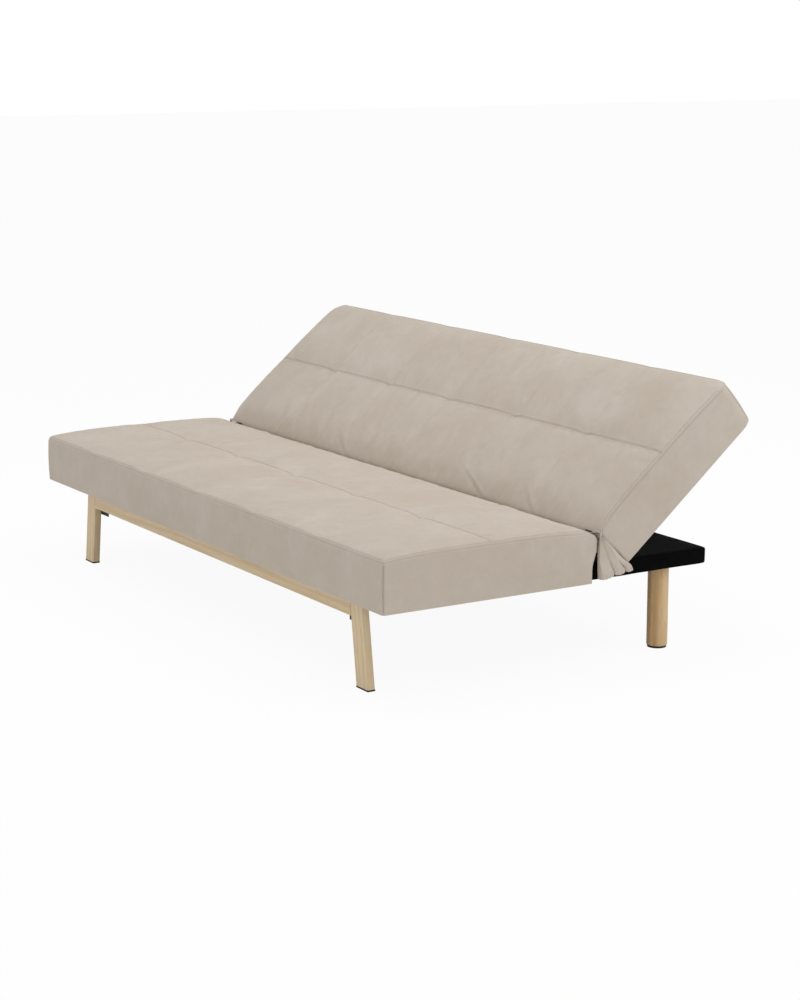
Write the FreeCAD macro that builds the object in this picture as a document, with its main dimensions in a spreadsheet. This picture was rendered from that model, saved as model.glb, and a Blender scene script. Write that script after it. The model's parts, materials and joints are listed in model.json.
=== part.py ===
import FreeCAD, Part
import math
import os

import Sketcher

Vector = FreeCAD.Vector
Rotation = FreeCAD.Rotation

# Click clack sofa bed: a seat slab and a backrest slab that meet at two ratchet hinges.
# X runs along the sofa, -Y is the front, Z is up and the floor is Z = 0.
# Left is -X and right is +X, as seen by someone who faces the sofa.
# Each slab is drawn in its own frame: the origin is on the hinge axis, Y runs away from
# the hinge and Z is up when the slab lies flat. The seat's frame is turned to the front
# and the backrest's is raised by the rest angle.

# Driving dimensions, in millimetres and degrees
SIZES = {
    "sofa_length": 1800,
    "seat_height": 327,
    "slab_thickness": 115,
    "seat_depth": 575,
    "back_height": 495,
    "rest_angle": 40,
    "fold_travel": 80,
    "hinge_gap": 6,
    "pivot_depth": 14,
    "crease_round": 18,
    "crown": 26,
    "end_crown": 4,
    "row_dip": 6,
    "column_dip": 4,
    "panel_columns": 6,
    "edge_round": 4,
    "wall_bulge": 2,
    "cover_skin": 3,
    "foam_gap": 0.3,
    "side_foam": 50,
    "end_foam": 40,
    "cover_lip": 2,
    "bar_width": 22,
    "bar_height": 40,
    "bar_chamfer": 2,
    "spring_wire": 4,
    "spring_count": 5,
    "spring_run": 30,
    "spring_turn": 12,
    "strap_count": 5,
    "strap_width": 60,
    "strap_thickness": 2,
    "dust_cloth": 1,
    "frame_recess": 28,
    "base_height": 39,
    "base_inset": 65,
    "base_behind": 365,
    "base_ahead": 230,
    "base_round": 5,
    "base_skin": 2,
    "bumper_height": 3,
    "bumper_radius": 12,
    "bumper_inset": 385,
    "bumper_behind": 300,
    "nest_clearance": 3.5,
    "leg_diameter": 50,
    "leg_inset": 45,
    "leg_setback": 108,
    "leg_chamfer": 1.5,
    "block_width": 90,
    "stud_radius": 4,
    "stud_in_leg": 40,
    "stud_in_block": 26,
    "glide_height": 5,
    "glide_radius": 23,
    "foot_inset": 138,
    "leg_splay": 30,
    "frame_drop": 2,
    "frame_setback": 44,
    "tube_width": 50,
    "tube_depth": 20,
    "tube_wall": 2,
    "tube_round": 2.5,
    "cap_height": 4,
    "cap_plug": 16,
    "bracket_width": 50,
    "bracket_overlap": 18,
    "bracket_below": 19,
    "bracket_plate": 3,
    "bolt_radius": 3,
    "bolt_head": 5,
    "bolt_head_height": 3,
    "bolt_length": 12,
    "bolt_edge": 12,
    "screw_radius": 2.5,
    "screw_head": 5,
    "screw_head_height": 2.5,
    "screw_length": 18,
    "hole_clearance": 0.05,
    "plate": 3,
    "layer_gap": 1.5,
    "eye_radius": 10,
    "pin_radius": 4,
    "pin_head": 6.5,
    "pin_head_height": 5,
    "nut_width": 15,
    "nut_height": 6.5,
    "plate_reach": 120,
    "plate_edge": 4,
    "screw_near": 75,
    "screw_far": 105,
    "sector_radius": 40,
    "sector_margin": 6,
    "notch_radius": 3,
    "click_count": 7,
    "pawl_dip": 80,
    "pawl_length": 28,
    "pawl_ride": 6,
    "pawl_nose": 2.5,
    "pawl_hook": 0.7,
    "pawl_eye": 6,
    "pawl_pin": 2.5,
    "coil_wire": 0.6,
    "coil_turns": 2,
    "notch_half": 15,
    "notch_near": 24,
    "notch_far": 48,
    "flap_width": 96,
    "flap_top_width": 16,
    "flap_thickness": 2.4,
    "flap_fold": 6,
    "flap_folds": 4,
    "flap_lift": 2,
    "flap_length": 122,
}

# Places that follow from the driving dimensions
LAYOUT = {
    "half_length": "Sizes.sofa_length / 2",
    "pivot_z": "Sizes.seat_height - Sizes.pivot_depth",
    "near": "Sizes.hinge_gap / 2",
    "skirt": "Sizes.pivot_depth - Sizes.slab_thickness",
    "seat_end": "near + Sizes.seat_depth",
    "back_end": "near + Sizes.back_height",
    "back_reach": "back_end * cos(Sizes.rest_angle) - skirt * sin(Sizes.rest_angle)",
    "pivot_y": "(seat_end + Sizes.wall_bulge - back_reach) / 2",
    "front_y": "pivot_y - seat_end",
    "stuffing": "Sizes.cover_skin + Sizes.foam_gap",
    "bar_near": "near + stuffing",
    "seat_half": "half_length - Sizes.side_foam",
    "back_half": "seat_half + Sizes.plate + Sizes.layer_gap",
    "seat_floor": "skirt + Sizes.frame_recess",
    "back_floor": "seat_floor + Sizes.nest_clearance",
    "foam_lift": "Sizes.bar_height + Sizes.spring_wire + 2 * Sizes.foam_gap",
    "base_top": "pivot_z + seat_floor - Sizes.dust_cloth",
    "base_half": "half_length - Sizes.base_inset",
    "base_front": "pivot_y - Sizes.base_ahead",
    "base_rear": "pivot_y + Sizes.base_behind",
    "base_under": "base_top - Sizes.base_height",
    "base_wall": "Sizes.base_skin + Sizes.foam_gap",
    "leg_x": "base_half - Sizes.leg_inset",
    "leg_y": "base_rear - Sizes.leg_setback",
    "frame_top": "Sizes.seat_height - Sizes.slab_thickness - Sizes.frame_drop",
    "rail_under": "frame_top - Sizes.tube_width",
    "tube_front": "front_y + Sizes.frame_setback",
    "tube_back": "tube_front + Sizes.tube_depth",
    "foot_half": "half_length - Sizes.foot_inset",
    "leg_top_half": "foot_half - Sizes.leg_splay",
    "bracket_out": "leg_top_half - Sizes.tube_width + Sizes.bracket_overlap",
    "bracket_in": "bracket_out - Sizes.bracket_width",
    "plate_under": "seat_floor + Sizes.plate_edge",
    "plate_over": "seat_floor + Sizes.bar_height - Sizes.plate_edge",
    "screw_level": "seat_floor + Sizes.bar_height / 2",
    "inner_plate": "seat_half",
    "arm_plate": "back_half",
    "outer_plate": "arm_plate + Sizes.plate + Sizes.layer_gap",
    "hinge_out": "outer_plate + Sizes.plate",
    "notch_in": "seat_half - Sizes.notch_half + Sizes.plate",
    "notch_out": "hinge_out + Sizes.pin_head_height + Sizes.layer_gap",
    "pawl_seat_y": "Sizes.sector_radius * cos(Sizes.pawl_dip)",
    "pawl_seat_z": "-Sizes.sector_radius * sin(Sizes.pawl_dip)",
    "pin_y": "pawl_seat_y + Sizes.pawl_length * sin(Sizes.pawl_dip)",
    "pin_z": "pawl_seat_z + Sizes.pawl_length * cos(Sizes.pawl_dip)",
    "ride": "Sizes.pawl_dip - Sizes.pawl_ride",
    "nose_y": "pin_y - Sizes.pawl_length * sin(ride)",
    "nose_z": "pin_z - Sizes.pawl_length * cos(ride)",
}

SIDES = {"left": -1, "right": 1}

doc = FreeCAD.newDocument("click_clack_sofa_bed")


# Sheets

def fill_sheet(name, cells, prefix):
    sheet = doc.addObject("Spreadsheet::Sheet", name)
    for row, (alias, value) in enumerate(cells.items(), start=1):
        sheet.set(f"A{row}", alias)
        sheet.set(f"B{row}", f"{prefix}{value}")
        sheet.setAlias(f"B{row}", alias)
    doc.recompute()
    return sheet


sizes = fill_sheet("Sizes", SIZES, "")
layout = fill_sheet("Layout", LAYOUT, "=")


def size(alias):
    return float(sizes.get(alias))


def spot(alias):
    return float(layout.get(alias))


# Drawing helpers

parts = []


def keep(piece, name, home="floor"):
    """Names a finished sub-part and puts its frame at the floor, the seat or the backrest."""
    piece.Label = name
    if home == "seat":
        piece.Placement.Rotation = Rotation(Vector(0, 0, 1), 180)
    if home == "back":
        piece.Placement.Rotation = Rotation(Vector(1, 0, 0), size("rest_angle"))
        piece.setExpression("Placement.Rotation.Angle", "Sizes.rest_angle")
    if home != "floor":
        piece.setExpression("Placement.Base.y", "Layout.pivot_y")
        piece.setExpression("Placement.Base.z", "Layout.pivot_z")
    parts.append(piece)
    return piece


def new_body(name):
    return doc.addObject("PartDesign::Body", name)


def block(body, name, low, high, kind="PartDesign::AdditiveBox"):
    """A block between two corners, each given as three formulas."""
    solid = body.newObject(kind, name)
    for prop, axis, start, end in zip(("Length", "Width", "Height"), "xyz", low, high):
        solid.setExpression(prop, f"({end}) - ({start})")
        solid.setExpression(f"Placement.Base.{axis}", start)
    return solid


AXES = {
    "x": Rotation(Vector(0, 1, 0), 90),
    "y": Rotation(Vector(1, 0, 0), -90),
    "z": Rotation(),
}


def rod(body, name, start, radius, length, axis, kind="PartDesign::AdditiveCylinder"):
    """A round bar from a start point along a positive axis."""
    solid = body.newObject(kind, name)
    solid.Placement.Rotation = AXES[axis]
    solid.setExpression("Radius", radius)
    solid.setExpression("Height", length)
    for letter, place in zip("xyz", start):
        solid.setExpression(f"Placement.Base.{letter}", place)
    return solid


def bore(body, name, start, radius, length, axis):
    return rod(body, name, start, radius, length, axis, "PartDesign::SubtractiveCylinder")


def break_edges(body, solid, amount, along=None):
    """Chamfers the edges of a solid, or only those that run along one axis."""
    doc.recompute()
    names = []
    for number, edge in enumerate(solid.Shape.Edges, start=1):
        run = edge.Vertexes[-1].Point - edge.Vertexes[0].Point
        straight = edge.Curve.TypeId == "Part::GeomLine"
        if along is None or (straight and abs(run.normalize().dot(along)) > 0.99):
            names.append(f"Edge{number}")
    chamfer = body.newObject("PartDesign::Chamfer", "edge_break")
    chamfer.Base = (solid, names)
    chamfer.setExpression("Size", amount)
    return chamfer


def flat_sketch(body, name, role, offset):
    """A sketch on one of the body's own origin planes, moved along its normal."""
    drawing = body.newObject("Sketcher::SketchObject", name)
    plane = [part for part in body.Origin.OriginFeatures if part.Role == role][0]
    drawing.AttachmentSupport = [(plane, "")]
    drawing.MapMode = "FlatFace"
    drawing.setExpression("AttachmentOffset.Base.z", offset)
    return drawing


def polygon(drawing, corners):
    """A closed outline whose corners are pairs of formulas, each held by the sheet."""
    points = []
    for across, up in corners:
        x = float(drawing.evalExpression(across))
        y = float(drawing.evalExpression(up))
        points.append(Vector(x, y, 0))
    count = len(points)
    for number in range(count):
        line = Part.LineSegment(points[number], points[(number + 1) % count])
        drawing.addGeometry(line, False)
    for number in range(count):
        drawing.addConstraint(Sketcher.Constraint("Coincident", number, 2, (number + 1) % count, 1))
    for number, (across, up) in enumerate(corners):
        for kind, value, formula in (
            ("DistanceX", points[number].x, across),
            ("DistanceY", points[number].y, up),
        ):
            held = drawing.addConstraint(Sketcher.Constraint(kind, -1, 1, number, 1, value))
            drawing.setExpression(f"Constraints[{held}]", formula)
    return drawing


def circle(drawing, across, up, radius):
    """A circle at a pair of formulas."""
    x = float(drawing.evalExpression(across))
    y = float(drawing.evalExpression(up))
    reach = float(drawing.evalExpression(radius))
    number = drawing.addGeometry(Part.Circle(Vector(x, y, 0), Vector(0, 0, 1), reach), False)
    for kind, value, formula in (("DistanceX", x, across), ("DistanceY", y, up)):
        held = drawing.addConstraint(Sketcher.Constraint(kind, -1, 1, number, 3, value))
        drawing.setExpression(f"Constraints[{held}]", formula)
    held = drawing.addConstraint(Sketcher.Constraint("Radius", number, reach))
    drawing.setExpression(f"Constraints[{held}]", radius)
    return drawing


def pad(body, drawing, name, length, kind="PartDesign::Pad"):
    """Grows or cuts a drawing evenly to both sides of its plane."""
    feature = body.newObject(kind, name)
    feature.Profile = drawing
    feature.SideType = "Symmetric"
    feature.setExpression("Length", length)
    drawing.Visibility = False
    return feature


def group(name, bodies, home="floor"):
    """Identical pieces that share one name, as separate solids."""
    bundle = doc.addObject("Part::Compound", name)
    bundle.Links = bodies
    return keep(bundle, name, home)


# Cushion forms

def end_swell(x, half):
    """The share of the crown's rise at x: none at the ends, all of it in the middle."""
    return math.sqrt(max(0.0, 1.0 - (abs(x) / half) ** 6))


def cushion_section(x, end, inset, swell, dip, shrink):
    """The slab's closed outline in the plane X = x, from lines and three-point arcs."""
    near = spot("near") + inset
    far = end - inset - shrink
    top = size("pivot_depth") - inset - shrink / 2
    bottom = spot("skirt") + inset + shrink
    bend = size("crease_round") - inset
    crease = near + bend
    middle = (near + far) / 2
    rise = size("end_crown") + (size("crown") - size("end_crown")) * swell
    peak = top + rise - dip
    seam = top + rise * (1 - size("row_dip") / size("crown")) - dip
    corner = bend * (1 - math.sqrt(0.5))

    def at(across, up):
        return Vector(x, across, up)

    edges = [
        Part.LineSegment(at(near, bottom), at(far, bottom)),
        Part.Arc(at(far, bottom), at(far + size("wall_bulge"), (bottom + top) / 2), at(far, top)),
        Part.Arc(at(far, top), at((far + middle) / 2, peak), at(middle, seam)),
        Part.Arc(at(middle, seam), at((middle + crease) / 2, peak), at(crease, top)),
        Part.Arc(at(crease, top), at(near + corner, top - corner), at(near, top - bend)),
        Part.LineSegment(at(near, top - bend), at(near, bottom)),
    ]
    return Part.Wire([edge.toShape() for edge in edges])


def cushion_stations(half):
    """Places along X for the outlines: each sewn line and the puffed panel beside it."""
    columns = int(size("panel_columns"))
    width = 2 * half / columns
    stations = []
    for column in range(columns + 1):
        line = -half + column * width
        stations.append((line, size("column_dip")))
        if column < columns:
            stations.append((line + width * 0.15, size("column_dip") * 0.2))
            stations.append((line + width * 0.5, 0.0))
            stations.append((line + width * 0.85, size("column_dip") * 0.2))
    return stations


def cushion_form(name, end_name, inset):
    """A crowned slab with a sewn row and sewn columns, as one ruled loft along X."""
    half = spot("half_length") - inset
    end = spot(end_name)
    tuck = size("edge_round")
    sections = [cushion_section(-half, end, inset, 0.0, 0.0, tuck)]
    for x, dip in cushion_stations(half):
        inner = max(-half + 2 * tuck, min(half - 2 * tuck, x))
        swell = end_swell(inner, half)
        sections.append(cushion_section(inner, end, inset, swell, dip * swell ** 2, 0.0))
    sections.append(cushion_section(half, end, inset, 0.0, 0.0, tuck))
    form = doc.addObject("Part::Feature", name)
    form.Shape = Part.makeLoft(sections, True, True)
    return form


def part_box(name, low, high):
    """A plain block used as a cutter, between two corners of three formulas."""
    solid = doc.addObject("Part::Box", name)
    for prop, axis, start, end in zip(("Length", "Width", "Height"), "xyz", low, high):
        solid.setExpression(prop, f"({end}) - ({start})")
        solid.setExpression(f"Placement.Base.{axis}", start)
    return solid


def cut(name, base, tools):
    """One solid less several cutters, taken away one after another."""
    result = base
    for number, tool in enumerate(tools):
        step = doc.addObject("Part::Cut", f"{name}_less_{number}")
        step.Base = result
        step.Tool = tool
        step.Refine = False
        result = step
    return result


def common(name, base, tool):
    result = doc.addObject("Part::Common", name)
    result.Base = base
    result.Tool = tool
    result.Refine = False
    return result


# The two slabs share one construction, seen from the hinge

BELOW = "Layout.skirt - 1"
ABOVE = "Sizes.pivot_depth + 2 * Sizes.crown"

SLABS = {
    "seat": {"end": "seat_end", "floor": "Layout.seat_floor", "half": "Layout.seat_half",
             "far": "front", "near": "rear", "flip": -1},
    "back": {"end": "back_end", "floor": "Layout.back_floor", "half": "Layout.back_half",
             "far": "top", "near": "lower", "flip": 1},
}


def slab_places(slab):
    """The formulas that the slab's pieces share."""
    end = f"Layout.{slab['end']}"
    return {
        "half": slab["half"],
        "floor": slab["floor"],
        "bar_top": f"{slab['floor']} + Sizes.bar_height",
        "foam_floor": f"{slab['floor']} + Layout.foam_lift",
        "end": end,
        "bar_far": f"{end} - Sizes.end_foam",
        "bar_far_in": f"{end} - Sizes.end_foam - Sizes.bar_width",
        "bar_near_in": "Layout.bar_near + Sizes.bar_width",
    }


def notches(label, at, depth, top):
    """Cutters for both hinge slots at the slab's hinge end."""
    tools = []
    for side, sign in SIDES.items():
        ends = sorted(["Layout.notch_in", "Layout.notch_out"], reverse=sign < 0)
        low = f"{sign} * {ends[0]}"
        high = f"{sign} * {ends[1]}"
        tools.append(part_box(
            f"{label}_{side}_slot",
            (low, "-1", f"{at['floor']} - Sizes.dust_cloth - 1"),
            (high, depth, top),
        ))
    return tools


def slab_cover(name, slab):
    """The sewn cover: crowned shell, skirt to the lower edge and open recess below."""
    at = slab_places(slab)
    outer = cushion_form(f"{name}_outer_form", slab["end"], 0.0)
    inner = cushion_form(f"{name}_inner_form", slab["end"], size("cover_skin"))
    recess = part_box(
        f"{name}_recess",
        (f"-({at['half']} - Sizes.cover_lip)", "-1", BELOW),
        (f"{at['half']} - Sizes.cover_lip", f"{at['bar_far']} - Sizes.cover_lip",
         f"{at['floor']} - Sizes.dust_cloth"),
    )
    slots = notches(f"{name}_cover", at, "0.95 * Sizes.eye_radius", "Sizes.pivot_depth - 1")
    cover = cut(f"{name}_cover", outer, [inner, recess] + slots)
    keep(cover, f"{name}_cover", name)


def slab_foam(name, slab):
    """The foam core over the springs and the strips that wrap the wooden frame."""
    at = slab_places(slab)
    form = cushion_form(f"{name}_foam_form", slab["end"], spot("stuffing"))
    above = part_box(
        f"{name}_above_springs",
        ("-Layout.half_length", "0", at["foam_floor"]),
        ("Layout.half_length", at["end"], ABOVE),
    )
    core = common(f"{name}_core_blank", form, above)
    near_slots = notches(f"{name}_core_near", at, "Sizes.notch_near", ABOVE)
    far_slots = notches(f"{name}_core_far", at, "Sizes.notch_far", "Sizes.eye_radius - 2")
    keep(cut(f"{name}_core", core, near_slots + far_slots), f"{name}_foam_core", name)

    beyond = part_box(
        f"{name}_beyond_frame",
        ("-Layout.half_length", at["bar_far"], BELOW),
        ("Layout.half_length", f"{at['end']} + Sizes.wall_bulge", at["foam_floor"]),
    )
    strip = common(f"{name}_far_strip", form, beyond)
    keep(strip, f"{name}_{slab['far']}_foam_strip", name)

    for side, sign in SIDES.items():
        local = sign * slab["flip"]
        ends = sorted([at["half"], "Layout.half_length"], key=lambda place: place != at["half"])
        if local < 0:
            ends.reverse()
        beside = part_box(
            f"{name}_{side}_beside",
            (f"{local} * {ends[0]}", "0", BELOW),
            (f"{local} * {ends[1]}", at["bar_far"], at["foam_floor"]),
        )
        blank = common(f"{name}_{side}_strip_blank", form, beside)
        reach = "Sizes.plate_reach + 3 * Sizes.screw_head"
        slots = notches(f"{name}_{side}_strip", at, reach, ABOVE)
        strip = cut(f"{name}_{side}_strip", blank, slots)
        keep(strip, f"{name}_{side}_foam_strip", name)


def wooden_bar(name, low, high, along, home):
    """A planed pine bar with its long edges broken."""
    body = new_body(name)
    blank = block(body, "blank", low, high)
    break_edges(body, blank, "Sizes.bar_chamfer", along)
    return keep(body, name, home)


def slab_frame(name, slab):
    """Five pine bars: near, far, two sides and a centre brace."""
    at = slab_places(slab)
    half = at["half"]
    wide = Vector(1, 0, 0)
    deep = Vector(0, 1, 0)
    floor = at["floor"]
    top = at["bar_top"]
    near = wooden_bar(
        f"{name}_{slab['near']}_rail",
        (f"-{half}", "Layout.bar_near", floor),
        (half, at["bar_near_in"], top),
        wide, name,
    )
    far = wooden_bar(
        f"{name}_{slab['far']}_rail",
        (f"-{half}", at["bar_far_in"], floor),
        (half, at["bar_far"], top),
        wide, name,
    )
    for side, sign in SIDES.items():
        local = sign * slab["flip"]
        outer = f"{local} * {half}"
        inner = f"{local} * ({half} - Sizes.bar_width)"
        low, high = (inner, outer) if local > 0 else (outer, inner)
        bar = wooden_bar(
            f"{name}_{side}_rail",
            (low, at["bar_near_in"], floor),
            (high, at["bar_far_in"], top),
            deep, name,
        )
        start = f"{local} * {half}" if local < 0 else f"{half} - Sizes.screw_length"
        for number, place in enumerate(("Sizes.screw_near", "Sizes.screw_far")):
            bore(bar, f"pilot_{number}", (start, place, f"{floor} + Sizes.bar_height / 2"),
                 "Sizes.screw_radius + Sizes.hole_clearance", "Sizes.screw_length", "x")
    wooden_bar(
        f"{name}_centre_brace",
        ("-Sizes.bar_width / 2", at["bar_near_in"], floor),
        ("Sizes.bar_width / 2", at["bar_far_in"], top),
        deep, name,
    )
    return near, far


def slab_dust_cloth(name, slab):
    """The thin black cloth stapled under the frame."""
    at = slab_places(slab)
    cloth = new_body(f"{name}_dust_cloth")
    block(
        cloth, "sheet",
        (f"-{at['half']} + Sizes.cover_lip", "Layout.bar_near", f"{at['floor']} - Sizes.dust_cloth"),
        (f"{at['half']} - Sizes.cover_lip", at["bar_far"], at["floor"]),
    )
    return keep(cloth, f"{name}_dust_cloth", name)


# Seat springs and backrest straps

def sinuous_spring(name, centre, near, far, level):
    """One zigzag wire: straight runs across, joined by half turns."""
    turns = round((far - near) / (2 * size("spring_turn")))
    radius = (far - near) / (2 * turns)
    reach = size("spring_run") / 2
    edges = []
    side = 1
    for turn in range(turns + 1):
        y = near + 2 * radius * turn
        start = Vector(centre - side * reach, y, level)
        stop = Vector(centre + side * reach, y, level)
        edges.append(Part.LineSegment(start, stop).toShape())
        if turn < turns:
            tip = Vector(stop.x + side * radius, y + radius, level)
            following = Vector(stop.x, y + 2 * radius, level)
            edges.append(Part.Arc(stop, tip, following).toShape())
        side = -side
    path = Part.Wire(edges)
    start = edges[0].Vertexes[0].Point
    ring = Part.Circle(start, Vector(1, 0, 0), size("spring_wire") / 2)
    wire = doc.addObject("Part::Feature", name)
    wire.Shape = path.makePipeShell([Part.Wire([ring.toShape()])], True, False)
    return wire


def seat_springs():
    """Zigzag springs from the rear rail to the front rail."""
    count = int(size("spring_count"))
    inner = spot("seat_half") - size("bar_width")
    near = spot("bar_near") + size("bar_width") / 2
    far = spot("seat_end") - size("end_foam") - size("bar_width") / 2
    level = spot("seat_floor") + size("bar_height") + size("spring_wire") / 2 + size("foam_gap") / 3
    pitch = 2 * inner / (count + 1)
    wires = []
    for number in range(count):
        centre = -inner + pitch * (number + 1)
        wires.append(sinuous_spring(f"spring_{number}", centre, near, far, level))
    group("seat_springs", wires, "seat")


def back_straps():
    """Elastic straps over the backrest frame."""
    at = slab_places(SLABS["back"])
    count = int(size("strap_count"))
    straps = []
    for number in range(count):
        share = (2 * number + 1 - count) / count
        centre = f"{share} * (Layout.back_half - Sizes.bar_width)"
        strap = new_body(f"strap_{number}")
        block(
            strap, "band",
            (f"{centre} - Sizes.strap_width / 2", "Layout.bar_near", at["bar_top"]),
            (f"{centre} + Sizes.strap_width / 2", at["bar_far"],
             f"{at['bar_top']} + Sizes.strap_thickness"),
        )
        straps.append(strap)
    group("back_webbing", straps, "back")


# Base box under the hinge

def rounded_block(name, low, high, radius):
    """A block with every edge rounded."""
    solid = part_box(f"{name}_blank", low, high)
    doc.recompute()
    rounded = doc.addObject("Part::Fillet", name)
    rounded.Base = solid
    rounded.Edges = [(number + 1, radius, radius) for number in range(12)]
    return rounded


def base_corners(inset):
    """The base box's two corners, drawn in by a formula."""
    low = (f"-Layout.base_half + {inset}", f"Layout.base_front + {inset}",
           f"Layout.base_under + {inset}")
    high = (f"Layout.base_half - {inset}", f"Layout.base_rear - {inset}",
            f"Layout.base_top - {inset}")
    return low, high


def base_box():
    """Black cloth round a pine frame that carries the slabs and the rear legs."""
    outer = rounded_block("base_outer", *base_corners("0"), size("base_round"))
    inner = rounded_block("base_inner", *base_corners("Sizes.base_skin"),
                          size("base_round") - size("base_skin"))
    holes = []
    for side, sign in SIDES.items():
        hole = doc.addObject("Part::Cylinder", f"{side}_stud_hole")
        hole.setExpression("Radius", "Sizes.stud_radius + Sizes.hole_clearance")
        hole.setExpression("Height", "2 * Layout.base_wall")
        hole.setExpression("Placement.Base.x", f"{sign} * Layout.leg_x")
        hole.setExpression("Placement.Base.y", "Layout.leg_y")
        hole.setExpression("Placement.Base.z", "Layout.base_under - Layout.base_wall / 2")
        holes.append(hole)
    keep(cut("base_shell", outer, [inner] + holes), "base_cover")

    low, high = base_corners("Layout.base_wall")
    front_in = f"{low[1]} + Sizes.bar_width"
    rear_in = f"{high[1]} - Sizes.bar_width"
    all_round = None
    wooden_bar("base_front_rail", low, (high[0], front_in, high[2]), all_round, "floor")
    wooden_bar("base_rear_rail", (low[0], rear_in, low[2]), high, all_round, "floor")
    for side, sign in SIDES.items():
        if sign < 0:
            ends = (low[0], f"{low[0]} + Sizes.bar_width")
        else:
            ends = (f"{high[0]} - Sizes.bar_width", high[0])
        wooden_bar(f"base_{side}_rail", (ends[0], front_in, low[2]), (ends[1], rear_in, high[2]),
                   all_round, "floor")


def leg_blocks():
    """Blocks inside the base that the rear legs screw into."""
    low, high = base_corners("Layout.base_wall")
    blocks = []
    for side, sign in SIDES.items():
        outer = "(Layout.base_half - Layout.base_wall - Sizes.bar_width)"
        inner = f"({outer} - Sizes.block_width)"
        ends = (inner, outer) if sign > 0 else (outer, inner)
        body = new_body(f"{side}_leg_block")
        block(
            body, "blank",
            (f"{sign} * {ends[0]}", "Layout.leg_y - Sizes.block_width / 2", low[2]),
            (f"{sign} * {ends[1]}", "Layout.leg_y + Sizes.block_width / 2", high[2]),
        )
        bore(body, "stud_hole", (f"{sign} * Layout.leg_x", "Layout.leg_y", low[2]),
             "Sizes.stud_radius + Sizes.hole_clearance", "Sizes.stud_in_block + 1", "z")
        blocks.append(body)
    group("base_leg_blocks", blocks)


def rear_legs():
    """Turned round legs on studs, each with a glide."""
    studs = []
    glides = []
    for side, sign in SIDES.items():
        x = f"{sign} * Layout.leg_x"
        leg = new_body(f"{side}_rear_leg")
        turned = rod(leg, "turning", (x, "Layout.leg_y", "Sizes.glide_height"),
                     "Sizes.leg_diameter / 2", "Layout.base_under - Sizes.glide_height", "z")
        break_edges(leg, turned, "Sizes.leg_chamfer")
        bore(leg, "stud_hole", (x, "Layout.leg_y", "Layout.base_under - Sizes.stud_in_leg - 1"),
             "Sizes.stud_radius + Sizes.hole_clearance", "Sizes.stud_in_leg + 2", "z")
        keep(leg, f"{side}_rear_leg")
        stud = new_body(f"{side}_stud")
        rod(stud, "thread", (x, "Layout.leg_y", "Layout.base_under - Sizes.stud_in_leg"),
            "Sizes.stud_radius", "Sizes.stud_in_leg + Sizes.stud_in_block", "z")
        studs.append(stud)
        glide = new_body(f"{side}_glide")
        rod(glide, "disc", (x, "Layout.leg_y", "0"), "Sizes.glide_radius",
            "Sizes.glide_height", "z")
        glides.append(glide)
    group("rear_leg_studs", studs)
    group("rear_leg_glides", glides)


def bumpers():
    """Rubber buttons on the base that the flat backrest lands on."""
    buttons = []
    for side, sign in SIDES.items():
        button = new_body(f"{side}_bumper")
        rod(button, "button",
            (f"{sign} * (Layout.base_half - Sizes.bumper_inset)", "Layout.pivot_y + Sizes.bumper_behind",
             "Layout.base_top"),
            "Sizes.bumper_radius", "Sizes.bumper_height", "z")
        buttons.append(button)
    group("base_bumpers", buttons)


# Front leg frame of flat tube

def leg_edge(level):
    """How far out the splayed leg's outer face is at a height."""
    return f"(Layout.foot_half - Sizes.leg_splay * ({level}) / Layout.frame_top)"


def slanted(sign, low, high, inset):
    """A splayed leg's outline between two heights, drawn in from its side faces."""
    outline = []
    for level, edge in ((low, "in"), (low, "out"), (high, "out"), (high, "in")):
        if edge == "out":
            across = f"{leg_edge(level)} - {inset}"
        else:
            across = f"{leg_edge(level)} - Sizes.tube_width + {inset}"
        outline.append((f"{sign} * ({across})", level))
    return outline


TUBE_MIDDLE = "-(Layout.tube_front + Sizes.tube_depth / 2)"


def tube(body, outline, hollow):
    """Flat rectangular tube with rounded long edges, less its hollow."""
    outer = polygon(flat_sketch(body, "outline", "XZ_Plane", TUBE_MIDDLE), outline)
    bar = pad(body, outer, "tube", "Sizes.tube_depth")
    doc.recompute()
    lengths = [(edge.Length, f"Edge{number}") for number, edge in enumerate(bar.Shape.Edges, start=1)]
    rounding = body.newObject("PartDesign::Fillet", "rounding")
    rounding.Base = (bar, [name for length, name in sorted(lengths)[-4:]])
    rounding.setExpression("Radius", "Sizes.tube_round")
    inner = polygon(flat_sketch(body, "hollow", "XZ_Plane", TUBE_MIDDLE), hollow)
    pad(body, inner, "inside", "Sizes.tube_depth - 2 * Sizes.tube_wall", "PartDesign::Pocket")


def bolt_places(sign):
    """The bracket's two bolts: one into the rail and one into the leg."""
    level = "Layout.frame_top - Sizes.tube_width / 2"
    in_rail = f"{sign} * (Layout.bracket_in + Sizes.bolt_edge)"
    in_leg = f"{sign} * (Layout.bracket_out - Sizes.bolt_edge / 2)"
    return (in_rail, level), (in_leg, level)


def screw_place(sign):
    """The wood screw up through the bracket's flange."""
    across = f"{sign} * (Layout.bracket_in + Sizes.bracket_width / 2)"
    return across, "Layout.tube_front + Sizes.tube_depth / 2"


def bolt_hole(body, place, name):
    """A bolt's clearance hole through the tube's rear wall and the bracket."""
    bore(body, name, (place[0], "Layout.tube_back - Sizes.tube_wall - 1", place[1]),
         "Sizes.bolt_radius + Sizes.hole_clearance",
         "Sizes.tube_wall + Sizes.bracket_plate + 2", "y")


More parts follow.
